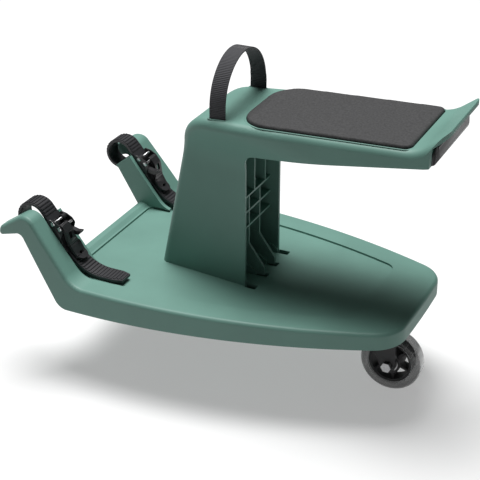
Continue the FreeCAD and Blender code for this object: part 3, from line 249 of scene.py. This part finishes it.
def foam_skin(name, colour):
    """Closed foam with a pebbled skin."""
    material, nodes, links, surface = new_material(name)
    place = nodes.new("ShaderNodeTexCoord")
    pebble = nodes.new("ShaderNodeTexVoronoi")
    pebble.inputs["Scale"].default_value = 420.0
    fleck = nodes.new("ShaderNodeTexNoise")
    fleck.inputs["Scale"].default_value = 420.0
    fleck.inputs["Detail"].default_value = 6.0
    fleck.inputs["Roughness"].default_value = 0.75
    links.new(place.outputs["Object"], pebble.inputs["Vector"])
    links.new(place.outputs["Object"], fleck.inputs["Vector"])
    tint = ramp(nodes, shade(colour, 0.45), shade(colour, 1.75))
    links.new(fleck.outputs["Fac"], tint.inputs["Fac"])
    links.new(tint.outputs["Color"], surface.inputs["Base Color"])
    surface.inputs["Roughness"].default_value = 0.78
    relief = nodes.new("ShaderNodeBump")
    relief.inputs["Strength"].default_value = 0.5
    relief.inputs["Distance"].default_value = 0.25 * MM
    links.new(pebble.outputs["Distance"], relief.inputs["Height"])
    links.new(relief.outputs["Normal"], surface.inputs["Normal"])
    return material


def webbing_cloth(name, colour):
    """Woven polyester tape."""
    material, nodes, links, surface = new_material(name)
    group = nodes.new("ShaderNodeGroup")
    group.node_tree = woven_cloth()
    tint = ramp(nodes, shade(colour, 0.4), shade(colour, 2.2))
    links.new(group.outputs["Thread"], tint.inputs["Fac"])
    links.new(tint.outputs["Color"], surface.inputs["Base Color"])
    surface.inputs["Roughness"].default_value = 0.72
    surface.inputs["Sheen Weight"].default_value = 0.25
    relief = nodes.new("ShaderNodeBump")
    relief.inputs["Strength"].default_value = 0.9
    relief.inputs["Distance"].default_value = 0.5 * MM
    links.new(group.outputs["Height"], relief.inputs["Height"])
    links.new(relief.outputs["Normal"], surface.inputs["Normal"])
    return material


def clear_tyre(name, colour):
    """Clear cast polyurethane with a slight haze, more opaque towards its rim; its colour has painted shade
    where it is seen square on and a painted highlight at its rim.
    """
    material, nodes, links, surface = new_material(name)
    place = nodes.new("ShaderNodeTexCoord")
    haze = nodes.new("ShaderNodeTexNoise")
    haze.inputs["Scale"].default_value = 60.0
    links.new(place.outputs["Object"], haze.inputs["Vector"])
    painted_rim_and_opacity = nodes.new("ShaderNodeLayerWeight")
    painted_rim_and_opacity.inputs["Blend"].default_value = 0.4
    # Painted shade and highlight: the tyre's colour runs from dark where it faces the view to pale at its
    # rim.
    tint = ramp(nodes, shade(colour, 0.12), shade(colour, 1.9))
    links.new(painted_rim_and_opacity.outputs["Facing"], tint.inputs["Fac"])
    links.new(tint.outputs["Color"], surface.inputs["Base Color"])
    gloss = nodes.new("ShaderNodeMapRange")
    gloss.inputs["To Min"].default_value = 0.08
    gloss.inputs["To Max"].default_value = 0.22
    links.new(haze.outputs["Fac"], gloss.inputs["Value"])
    links.new(gloss.outputs["Result"], surface.inputs["Roughness"])
    body = nodes.new("ShaderNodeMapRange")
    body.inputs["To Min"].default_value = 0.50
    body.inputs["To Max"].default_value = 0.92
    links.new(painted_rim_and_opacity.outputs["Facing"], body.inputs["Value"])
    links.new(body.outputs["Result"], surface.inputs["Alpha"])
    surface.inputs["Coat Weight"].default_value = 1.0
    surface.inputs["Coat Roughness"].default_value = 0.05
    return material


def plated_steel(name, colour):
    """Zinc-plated steel with a faint mottle."""
    material, nodes, links, surface = new_material(name)
    place = nodes.new("ShaderNodeTexCoord")
    mottle = nodes.new("ShaderNodeTexNoise")
    mottle.inputs["Scale"].default_value = 500.0
    links.new(place.outputs["Object"], mottle.inputs["Vector"])
    tint = ramp(nodes, shade(colour, 0.85), shade(colour, 1.1))
    links.new(mottle.outputs["Fac"], tint.inputs["Fac"])
    links.new(tint.outputs["Color"], surface.inputs["Base Color"])
    surface.inputs["Metallic"].default_value = 1.0
    gloss = nodes.new("ShaderNodeMapRange")
    gloss.inputs["To Min"].default_value = 0.22
    gloss.inputs["To Max"].default_value = 0.42
    links.new(mottle.outputs["Fac"], gloss.inputs["Value"])
    links.new(gloss.outputs["Result"], surface.inputs["Roughness"])
    return material


def finishes():
    """The materials, made once and kept by slot."""
    tone = colours()
    fitting = {"roughness": 0.40, "spread": 0.2, "bump": 0.15, "grain": 900.0}
    strap = {"roughness": 0.46, "spread": 0.15, "bump": 0.1, "grain": 700.0}
    core = {"roughness": 0.38, "spread": 0.1, "bump": 0.1, "grain": 900.0}
    rows = {
        "green_plastic": ("sage_moulding", moulded_plastic, tone.green, {"roughness": 0.52}),
        "black_plastic": ("black_fitting", moulded_plastic, tone.black, fitting),
        "strap": ("ladder_strap", moulded_plastic, tone.strap, strap),
        "webbing": ("carry_webbing", webbing_cloth, tone.webbing, {}),
        "pad": ("foam_pad", foam_skin, tone.pad, {}),
        "tyre": ("clear_tyre", clear_tyre, tone.tyre, {}),
        "wheel_core": ("wheel_core", moulded_plastic, tone.core, core),
        "steel": ("plated_steel", plated_steel, tone.steel, {}),
    }
    return {slot: bpy.data.materials.get(name) or maker(name, colour, **values)
            for slot, (name, maker, colour, values) in rows.items()}


# Pieces


def deselect():
    if bpy.context.mode != "OBJECT":
        bpy.ops.object.mode_set(mode="OBJECT")
    bpy.ops.object.select_all(action="DESELECT")


def only(piece):
    deselect()
    piece.select_set(True)
    bpy.context.view_layer.objects.active = piece


def paint(piece, material):
    piece.data.materials.clear()
    piece.data.materials.append(material)


def node_slots():
    return {part["node"]: part["material_slot"] for part in frame["record"]["subparts"]}


def body_of_node(node):
    for body, nodes in frame["record"]["behaviour"]["bodies"].items():
        if node in nodes:
            return body
    raise ValueError("no body holds " + node)


def place_piece(piece, body, slot, *nodes):
    """Finish a piece: paint it with its slot's material, hang it on its body and hide the CAD nodes that it
    stands for.
    """
    paint(piece, finishes()[slot])
    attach(piece, body)
    if nodes:
        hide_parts(*nodes)


def welded_copy(node, name):
    """A copy of a CAD node at the origin, with its loose triangles joined."""
    only(frame["nodes"][node])
    bpy.ops.object.duplicate()
    piece = bpy.context.active_object
    piece.name = name
    piece.data.name = name
    piece.parent = None
    piece.matrix_world = Matrix.Identity(4)
    only(piece)
    bpy.ops.object.mode_set(mode="EDIT")
    bpy.ops.mesh.select_all(action="SELECT")
    bpy.ops.mesh.remove_doubles(threshold=sizes().weld_gap)
    bpy.ops.object.mode_set(mode="OBJECT")
    return piece


def modify(piece, name, kind, **values):
    """Add a modifier with its values to the active piece, and apply it."""
    modifier = piece.modifiers.new(name, kind)
    for key, value in values.items():
        setattr(modifier, key, value)
    bpy.ops.object.modifier_apply(modifier=name)


def moulded_copy(node, name):
    """A welded copy of a CAD node with round faces shaded round, standing for it."""
    piece = welded_copy(node, name)
    bpy.ops.object.shade_smooth_by_angle(angle=sizes().smooth_angle)
    place_piece(piece, body_of_node(node), node_slots()[node], node)
    return piece


FLAT_ANGLE = math.radians(0.5)
EDGE_ANGLE = math.radians(38)


def eased(piece):
    """Break a moulding's sharp edges with a small round, and even out its shading."""
    only(piece)
    bpy.ops.object.mode_set(mode="EDIT")
    bpy.ops.mesh.select_all(action="SELECT")
    bpy.ops.mesh.dissolve_limited(angle_limit=FLAT_ANGLE)
    bpy.ops.object.mode_set(mode="OBJECT")
    modify(piece, "edge_break", "BEVEL", width=sizes().edge_break, segments=2,
           limit_method="ANGLE", angle_limit=EDGE_ANGLE)
    bpy.ops.object.shade_smooth_by_angle(angle=sizes().smooth_angle)
    modify(piece, "even_shading", "WEIGHTED_NORMAL", keep_sharp=True)


EASED = ("deck", "seat_shell")
SOFT = ("seat_pad", "carry_strap")


class BOARD_OT_mouldings(bpy.types.Operator):
    """Weld and smooth the board, the seat and the other moulded and turned pieces"""

    bl_idname = "board.mouldings"
    bl_label = "Mouldings"

    def execute(self, context):
        for node in frame["nodes"]:
            if node in SOFT:
                continue
            piece = moulded_copy(node, node + "_piece")
            if node in EASED:
                eased(piece)
        return {"FINISHED"}


# Ladder straps: the route of a strap's middle line in the XZ plane, in millimetres as the board is drawn

APEX = Vector((-220.5, 206.5))
DOWN = Vector((62.0, -82.5)).normalized()
OUT = Vector((-DOWN.y, DOWN.x))
STRAP_OUT = -0.2
STRAP_HALF = 1.5
STRAP_Y = 105.0
LOOP_AT = 9.2
LOOP_RADIUS = 18.0
LOOP_SWEEP = math.radians(200)
BUCKLE_AT = 20.0
TAIL_BEND = 55.0
TAIL_Z = 127.5
TAIL_X = -107.5
TAIL_TAPER = 3.5
TAPER_RUN = 3
TAIL_CLEAR = 6.0

# A tooth's share of the pitch, then its stock, its rounding and its rise as shares of its height

TOOTH_LAND = 0.62
TOOTH_STOCK = 1.2
TOOTH_ROUND = 0.45
TOOTH_RISE = 0.4


def round_bend(hub, reach, begin, sweep, way):
    """Teeth round a bend: their places and the strap's direction there, which runs one way or the other."""
    pitch = sizes().tooth_pitch / MM
    width = sizes().tooth_width / MM
    places = []
    for number in range(int(sweep * reach / pitch)):
        turn = begin + (number + 0.5) * pitch / reach
        arm = Vector((math.cos(turn), math.sin(turn)))
        places.append((hub + arm * reach, Vector((-arm.y, arm.x)) * way, width))
    return places


def tooth_places():
    """Where the teeth of a strap sit: middle point, direction along the strap, and width."""
    pitch = sizes().tooth_pitch / MM
    width = sizes().tooth_width / MM
    hub = APEX + DOWN * LOOP_AT + OUT * (STRAP_OUT - LOOP_RADIUS)
    begin = math.atan2(OUT.y, OUT.x)
    places = round_bend(hub, LOOP_RADIUS + STRAP_HALF, begin, LOOP_SWEEP, -1)
    for number in range(int((BUCKLE_AT - LOOP_AT) / pitch)):
        along = LOOP_AT + (number + 0.5) * pitch
        places.append((APEX + DOWN * along + OUT * (STRAP_OUT + STRAP_HALF), DOWN, width))
    level = (TAIL_Z - (APEX + OUT * STRAP_OUT).y) / DOWN.y
    angle = math.atan2(-DOWN.y, DOWN.x)
    set_back = TAIL_BEND * math.tan(angle / 2)
    bend_in = APEX + DOWN * (level - set_back) + OUT * STRAP_OUT
    hub = bend_in + OUT * TAIL_BEND
    reach = TAIL_BEND - STRAP_HALF
    begin = math.atan2(-OUT.y, -OUT.x)
    skip = TAIL_CLEAR / reach
    places += round_bend(hub, reach, begin + skip, angle - skip, 1)
    x = hub.x
    while x + pitch < TAIL_X:
        x += pitch
        narrow = max(0.0, (x + pitch / 2 - TAIL_X + TAIL_TAPER * TAPER_RUN) / TAPER_RUN)
        places.append((Vector((x - pitch / 2, TAIL_Z + STRAP_HALF)), Vector((1.0, 0.0)), width - narrow * 2))
    return places


def strap_tooth(name):
    """One tooth: a low bar with its upper edges rounded off."""
    deselect()
    bpy.ops.mesh.primitive_cube_add(size=1.0, location=(0, 0, 0))
    tooth = bpy.context.active_object
    tooth.name = name
    bpy.ops.object.mode_set(mode="EDIT")
    bpy.ops.mesh.select_all(action="SELECT")
    land = sizes().tooth_pitch * TOOTH_LAND
    bpy.ops.transform.resize(value=(land, 1.0, sizes().tooth_height * TOOTH_STOCK))
    bpy.ops.mesh.select_all(action="DESELECT")
    edges = bmesh.from_edit_mesh(tooth.data)
    for edge in edges.edges:
        edge.select = all(corner.co.z > 0 for corner in edge.verts)
    edges.select_flush_mode()
    bmesh.update_edit_mesh(tooth.data)
    bpy.ops.mesh.bevel(offset=sizes().tooth_height * TOOTH_ROUND, segments=2)
    bpy.ops.object.mode_set(mode="OBJECT")
    return tooth


def toothed_strap(hand, name):
    """All the teeth of one strap, as one piece on the strap's outer face."""
    tooth = strap_tooth(name)
    copies = []
    for place, along, width in tooth_places():
        copy = tooth.copy()
        copy.data = tooth.data.copy()
        bpy.context.collection.objects.link(copy)
        square = Vector((-along.y, along.x))
        place = (place + square * (sizes().tooth_height / MM * TOOTH_RISE)) * MM
        copy.data.transform(Matrix((
            (along.x, 0, square.x, place.x),
            (0, width * MM, 0, hand * STRAP_Y * MM),
            (along.y, 0, square.y, place.y),
            (0, 0, 0, 1))))
        copies.append(copy)
    bpy.data.objects.remove(tooth)
    deselect()
    for copy in copies:
        copy.select_set(True)
    bpy.context.view_layer.objects.active = copies[0]
    bpy.ops.object.join()
    piece = bpy.context.active_object
    piece.name = name
    only(piece)
    bpy.ops.object.mode_set(mode="EDIT")
    bpy.ops.mesh.select_all(action="SELECT")
    bpy.ops.mesh.normals_make_consistent(inside=False)
    bpy.ops.object.mode_set(mode="OBJECT")
    bpy.ops.object.shade_smooth_by_angle(angle=sizes().smooth_angle)
    place_piece(piece, "board", "strap")


class BOARD_OT_strap_teeth(bpy.types.Operator):
    """Set the ladder straps' teeth along their outer faces"""

    bl_idname = "board.strap_teeth"
    bl_label = "Strap teeth"

    def execute(self, context):
        toothed_strap(1, "strap_teeth_left")
        toothed_strap(-1, "strap_teeth_right")
        return {"FINISHED"}


# Seat pad


class BOARD_OT_pad(bpy.types.Operator):
    """Make the foam seat pad: a crowned sheet with rolled edges in the seat's bed"""

    bl_idname = "board.pad"
    bl_label = "Seat pad"

    def execute(self, context):
        piece = welded_copy("seat_pad", "foam_seat_pad")
        modify(piece, "even", "REMESH", mode="VOXEL", voxel_size=sizes().pad_voxel)
        modify(piece, "roll", "SMOOTH", factor=0.5, iterations=5)
        bpy.ops.object.shade_smooth()
        place_piece(piece, "seat", "pad", "seat_pad")
        return {"FINISHED"}


# Beads on the seat's top, which rises towards the front

BED_DEPTH = 2.7 * MM
BED_CORNERS = (36 * MM, 9 * MM)
BED_MARGIN = 2.2
SLOT_MARGIN = 2 * MM
WEB_HALF = 1 * MM
BEAD_SINK = 0.5 * MM
BEAD_STEPS = 8
END_BAND = 1 * MM
SEAT_SLOPE = math.tan(math.radians(2.32))


def seat_top(x):
    """Height of the seat's top face at a place along the board."""
    low = Vector(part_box("seat_pad")[0])
    return low.z + BED_DEPTH + (x - low.x) * SEAT_SLOPE


def rounded_bead(name, low, high, corners):
    """A thin round bead on the seat's top, along a rectangle with its rear and front corners rounded off."""
    middle = (low.x + high.x) / 2
    deselect()
    bpy.ops.mesh.primitive_plane_add(size=1.0, location=(0, 0, 0))
    piece = bpy.context.active_object
    piece.name = name
    piece.data.transform(Matrix((
        (high.x - low.x, 0, 0, middle),
        (0, high.y - low.y, 0, (low.y + high.y) / 2),
        (seat_top(high.x) - seat_top(low.x), 0, 1, seat_top(middle) - BEAD_SINK),
        (0, 0, 0, 1))))
    bpy.ops.object.mode_set(mode="EDIT")
    for end, radius in zip((-1, 1), corners):
        bpy.ops.mesh.select_all(action="DESELECT")
        mesh = bmesh.from_edit_mesh(piece.data)
        for corner in mesh.verts:
            corner.select = (corner.co.x - middle) * end > abs(high.x - middle) - END_BAND
        mesh.select_flush(False)
        bmesh.update_edit_mesh(piece.data)
        bpy.ops.mesh.bevel(offset=radius, segments=BEAD_STEPS, affect="VERTICES", clamp_overlap=False)
    bpy.ops.mesh.select_all(action="SELECT")
    bpy.ops.mesh.delete(type="ONLY_FACE")
    bpy.ops.object.mode_set(mode="OBJECT")
    bpy.ops.object.convert(target="CURVE")
    piece = bpy.context.active_object
    piece.data.bevel_depth = sizes().bead
    piece.data.bevel_resolution = 3
    bpy.ops.object.convert(target="MESH")
    piece = bpy.context.active_object
    bpy.ops.object.shade_smooth()
    return piece


class BOARD_OT_seat_beads(bpy.types.Operator):
    """Run a bead round the pad's bed and round each slot of the carry loop"""

    bl_idname = "board.seat_beads"
    bl_label = "Seat beads"

    def execute(self, context):
        low, high = (Vector(corner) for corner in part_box("seat_pad"))
        margin = Vector((1, 1, 0)) * sizes().bead * BED_MARGIN
        piece = rounded_bead("pad_bed_bead", low - margin, high + margin, BED_CORNERS)
        place_piece(piece, "seat", "green_plastic")
        low, high = (Vector(corner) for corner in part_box("carry_strap"))
        for hand, name in ((1, "left"), (-1, "right")):
            middle = hand * (high.y - WEB_HALF)
            reach = Vector((SLOT_MARGIN, SLOT_MARGIN, 0))
            start = Vector((low.x, middle, 0)) - reach
            end = Vector((high.x, middle, 0)) + reach
            piece = rounded_bead("strap_slot_bead_" + name, start, end, (SLOT_MARGIN, SLOT_MARGIN))
            place_piece(piece, "seat", "green_plastic")
        return {"FINISHED"}


# Tray under the foot slots

TRAY_LOW = Vector((-8, -86, 107)) * MM
TRAY_HIGH = Vector((46, 86, 117.6)) * MM
TRAY_WALL = 1.2 * MM
TRAY_ROUND = 0.3
FACES_UP = 0.9


class BOARD_OT_foot_tray(bpy.types.Operator):
    """Close the deck's foot slots from below with a shallow tray"""

    bl_idname = "board.foot_tray"
    bl_label = "Foot tray"

    def execute(self, context):
        deselect()
        bpy.ops.mesh.primitive_cube_add(size=1.0, location=(0, 0, 0))
        piece = bpy.context.active_object
        piece.name = "foot_slot_tray"
        piece.data.transform(Matrix((
            (TRAY_HIGH.x - TRAY_LOW.x, 0, 0, (TRAY_HIGH.x + TRAY_LOW.x) / 2),
            (0, TRAY_HIGH.y - TRAY_LOW.y, 0, (TRAY_HIGH.y + TRAY_LOW.y) / 2),
            (0, 0, TRAY_HIGH.z - TRAY_LOW.z, (TRAY_HIGH.z + TRAY_LOW.z) / 2),
            (0, 0, 0, 1))))
        bpy.ops.object.mode_set(mode="EDIT")
        bpy.ops.mesh.select_all(action="DESELECT")
        mesh = bmesh.from_edit_mesh(piece.data)
        for face in mesh.faces:
            face.select = face.normal.z > FACES_UP
        mesh.select_flush(True)
        bmesh.update_edit_mesh(piece.data)
        bpy.ops.mesh.inset(thickness=TRAY_WALL)
        bpy.ops.transform.translate(value=(0, 0, TRAY_LOW.z + TRAY_WALL - TRAY_HIGH.z))
        bpy.ops.object.mode_set(mode="OBJECT")
        modify(piece, "edge", "BEVEL", width=TRAY_WALL * TRAY_ROUND, segments=2)
        bpy.ops.object.shade_smooth_by_angle(angle=sizes().smooth_angle)
        place_piece(piece, "board", "green_plastic")
        return {"FINISHED"}


# Carry loop

ARCH_STEPS = 36
SELVEDGE = 0.4
SELVEDGE_ANGLE = math.radians(60)
NEAR = 0.5 * MM


def pick_edges(piece, wanted):
    """Select the edges whose two ends are both wanted, in edit mode."""
    bpy.ops.mesh.select_all(action="DESELECT")
    mesh = bmesh.from_edit_mesh(piece.data)
    for edge in mesh.edges:
        if all(wanted(corner.co) for corner in edge.verts):
            edge.select_set(True)
    bmesh.update_edit_mesh(piece.data)


def webbing_map(piece, high):
    """A UV map that runs along the webbing, in metres: across it, and round its arch."""
    layer = piece.data.uv_layers[0] if piece.data.uv_layers else piece.data.uv_layers.new(name="weave")
    half = high.y
    spring = high.z - half
    for loop in piece.data.loops:
        corner = piece.data.vertices[loop.vertex_index].co
        if corner.z > spring:
            along = spring + half * math.atan2(corner.z - spring, abs(corner.y))
        else:
            along = corner.z
        layer.data[loop.index].uv = (corner.x, math.copysign(along, corner.y))


class BOARD_OT_carry_loop(bpy.types.Operator):
    """Make the webbing carry loop: two legs from the crown's slots and an arch between them"""

    bl_idname = "board.carry_loop"
    bl_label = "Carry loop"

    def execute(self, context):
        low, high = (Vector(corner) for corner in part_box("carry_strap"))
        middle = (low.x + high.x) / 2
        thick = sizes().web_thick
        side = high.y - WEB_HALF
        spring = high.z - high.y
        deselect()
        bpy.ops.mesh.primitive_plane_add(size=1.0, location=(0, 0, 0))
        piece = bpy.context.active_object
        piece.name = "carry_loop_webbing"
        leg = spring - low.z
        piece.data.transform(Matrix((
            (high.x - low.x, 0, 0, middle),
            (0, 0, 0, -side),
            (0, leg, 0, low.z + leg / 2),
            (0, 0, 0, 1))))
        bpy.ops.object.mode_set(mode="EDIT")
        pick_edges(piece, lambda corner: corner.z > spring - NEAR)
        bpy.ops.mesh.spin(steps=ARCH_STEPS, angle=math.pi, center=(middle, 0, spring), axis=(1, 0, 0))
        bpy.ops.object.mode_set(mode="OBJECT")
        if max(corner.co.z for corner in piece.data.vertices) < spring + side / 2:
            raise ValueError("the carry loop's arch turned down")
        bpy.ops.object.mode_set(mode="EDIT")
        pick_edges(piece, lambda corner: corner.y > side - NEAR)
        bpy.ops.mesh.extrude_edges_move(TRANSFORM_OT_translate={"value": (0, 0, -leg)})
        bpy.ops.mesh.select_all(action="SELECT")
        bpy.ops.mesh.remove_doubles(threshold=sizes().weld_gap)
        bpy.ops.mesh.normals_make_consistent(inside=False)
        bpy.ops.object.mode_set(mode="OBJECT")
        modify(piece, "wall", "SOLIDIFY", thickness=thick, offset=0)
        modify(piece, "selvedge", "BEVEL", width=thick * SELVEDGE, segments=3,
               limit_method="ANGLE", angle_limit=SELVEDGE_ANGLE)
        bpy.ops.object.shade_smooth_by_angle(angle=sizes().smooth_angle)
        webbing_map(piece, high)
        place_piece(piece, "seat", "webbing", "carry_strap")
        return {"FINISHED"}


# Stage


class BOARD_OT_stage(bpy.types.Operator):
    """Set up the floor, the light, the background and the camera"""

    bl_idname = "board.stage"
    bl_label = "Stage"

    def execute(self, context):
        make_floor()
        make_light()
        make_world()
        make_camera()
        context.scene.view_settings.view_transform = "Standard"
        return {"FINISHED"}


def make_floor():
    deselect()
    bpy.ops.mesh.primitive_plane_add(size=14.0, location=(0, 0, 0))
    floor = bpy.context.active_object
    floor.name = "studio_floor"
    material, nodes, links, surface = new_material("studio_floor")
    surface.inputs["Base Color"].default_value = (*colours().floor, 1)
    surface.inputs["Roughness"].default_value = 0.9
    surface.inputs["Specular IOR Level"].default_value = 0.0
    path = nodes.new("ShaderNodeLightPath")
    seen = nodes.new("ShaderNodeMath")
    seen.operation = "MAXIMUM"
    links.new(path.outputs["Is Camera Ray"], seen.inputs[0])
    links.new(path.outputs["Is Glossy Ray"], seen.inputs[1])
    also = nodes.new("ShaderNodeMath")
    also.operation = "MAXIMUM"
    links.new(seen.outputs[0], also.inputs[0])
    links.new(path.outputs["Is Transmission Ray"], also.inputs[1])
    lift = nodes.new("ShaderNodeEmission")
    lift.inputs["Strength"].default_value = colours().floor_lift
    clear = nodes.new("ShaderNodeEmission")
    clear.inputs["Strength"].default_value = 0.0
    pick = nodes.new("ShaderNodeMixShader")
    links.new(also.outputs[0], pick.inputs["Fac"])
    links.new(clear.outputs[0], pick.inputs[1])
    links.new(lift.outputs[0], pick.inputs[2])
    total = nodes.new("ShaderNodeAddShader")
    links.new(surface.outputs["BSDF"], total.inputs[0])
    links.new(pick.outputs[0], total.inputs[1])
    links.new(total.outputs[0], nodes["Material Output"].inputs["Surface"])
    paint(floor, material)


def area_light(name, place, aim, size, power):
    lamp = bpy.data.lights.new(name, "AREA")
    lamp.size = size
    lamp.energy = power
    light = bpy.data.objects.new(name, lamp)
    light.location = place
    light.rotation_euler = (Vector(aim) - Vector(place)).to_track_quat("-Z", "Y").to_euler()
    bpy.context.collection.objects.link(light)


def make_light():
    area_light("overhead", place=(-0.45, 0.45, 3.2), aim=(0.0, 0, 0.1), size=1.6, power=140.0)


def make_world():
    world = bpy.data.worlds.new("studio")
    bpy.context.scene.world = world
    world.use_nodes = True
    nodes, links = world.node_tree.nodes, world.node_tree.links
    base = nodes["Background"]
    base.inputs["Color"].default_value = (1, 1, 1, 1)
    base.inputs["Strength"].default_value = 0.09
    seen = nodes.new("ShaderNodeBackground")
    seen.inputs["Color"].default_value = (1, 1, 1, 1)
    seen.inputs["Strength"].default_value = 1.0
    path = nodes.new("ShaderNodeLightPath")
    plain = nodes.new("ShaderNodeMath")
    plain.operation = "MAXIMUM"
    links.new(path.outputs["Is Camera Ray"], plain.inputs[0])
    links.new(path.outputs["Is Transmission Ray"], plain.inputs[1])
    mix = nodes.new("ShaderNodeMixShader")
    links.new(plain.outputs[0], mix.inputs["Fac"])
    links.new(base.outputs["Background"], mix.inputs[1])
    links.new(seen.outputs["Background"], mix.inputs[2])
    links.new(mix.outputs["Shader"], nodes["World Output"].inputs["Surface"])


def make_camera():
    lens = bpy.data.cameras.new("view")
    lens.lens = 100.2
    lens.sensor_width = 36.0
    camera = bpy.data.objects.new("view", lens)
    camera.location = (0.6227, -1.3102, 0.9166)
    camera.rotation_euler = (math.radians(62.28), 0, math.radians(25.64))
    bpy.context.collection.objects.link(camera)
    bpy.context.scene.camera = camera


# Panel and registration


class BOARD_PT_panel(bpy.types.Panel):
    """The board's pieces"""

    bl_idname = "BOARD_PT_panel"
    bl_label = "Buggy board"
    bl_space_type = "VIEW_3D"
    bl_region_type = "UI"
    bl_category = "Board"

    def draw(self, context):
        for operator in OPERATORS:
            self.layout.operator(operator.bl_idname)


OPERATORS = (BOARD_OT_mouldings, BOARD_OT_strap_teeth, BOARD_OT_pad, BOARD_OT_seat_beads,
             BOARD_OT_foot_tray, BOARD_OT_carry_loop, BOARD_OT_stage)
CLASSES = (BoardSizes, BoardColours) + OPERATORS + (BOARD_PT_panel,)


def register():
    for item in CLASSES:
        bpy.utils.register_class(item)
    bpy.types.Scene.board_sizes = bpy.props.PointerProperty(type=BoardSizes)
    bpy.types.Scene.board_colours = bpy.props.PointerProperty(type=BoardColours)


def unregister():
    del bpy.types.Scene.board_colours
    del bpy.types.Scene.board_sizes
    for item in reversed(CLASSES):
        bpy.utils.unregister_class(item)


def main():
    register()
    bpy.ops.board.mouldings()
    bpy.ops.board.strap_teeth()
    bpy.ops.board.pad()
    bpy.ops.board.seat_beads()
    bpy.ops.board.foot_tray()
    bpy.ops.board.carry_loop()
    bpy.ops.board.stage()
    deselect()


if __name__ == "__main__":
    main()
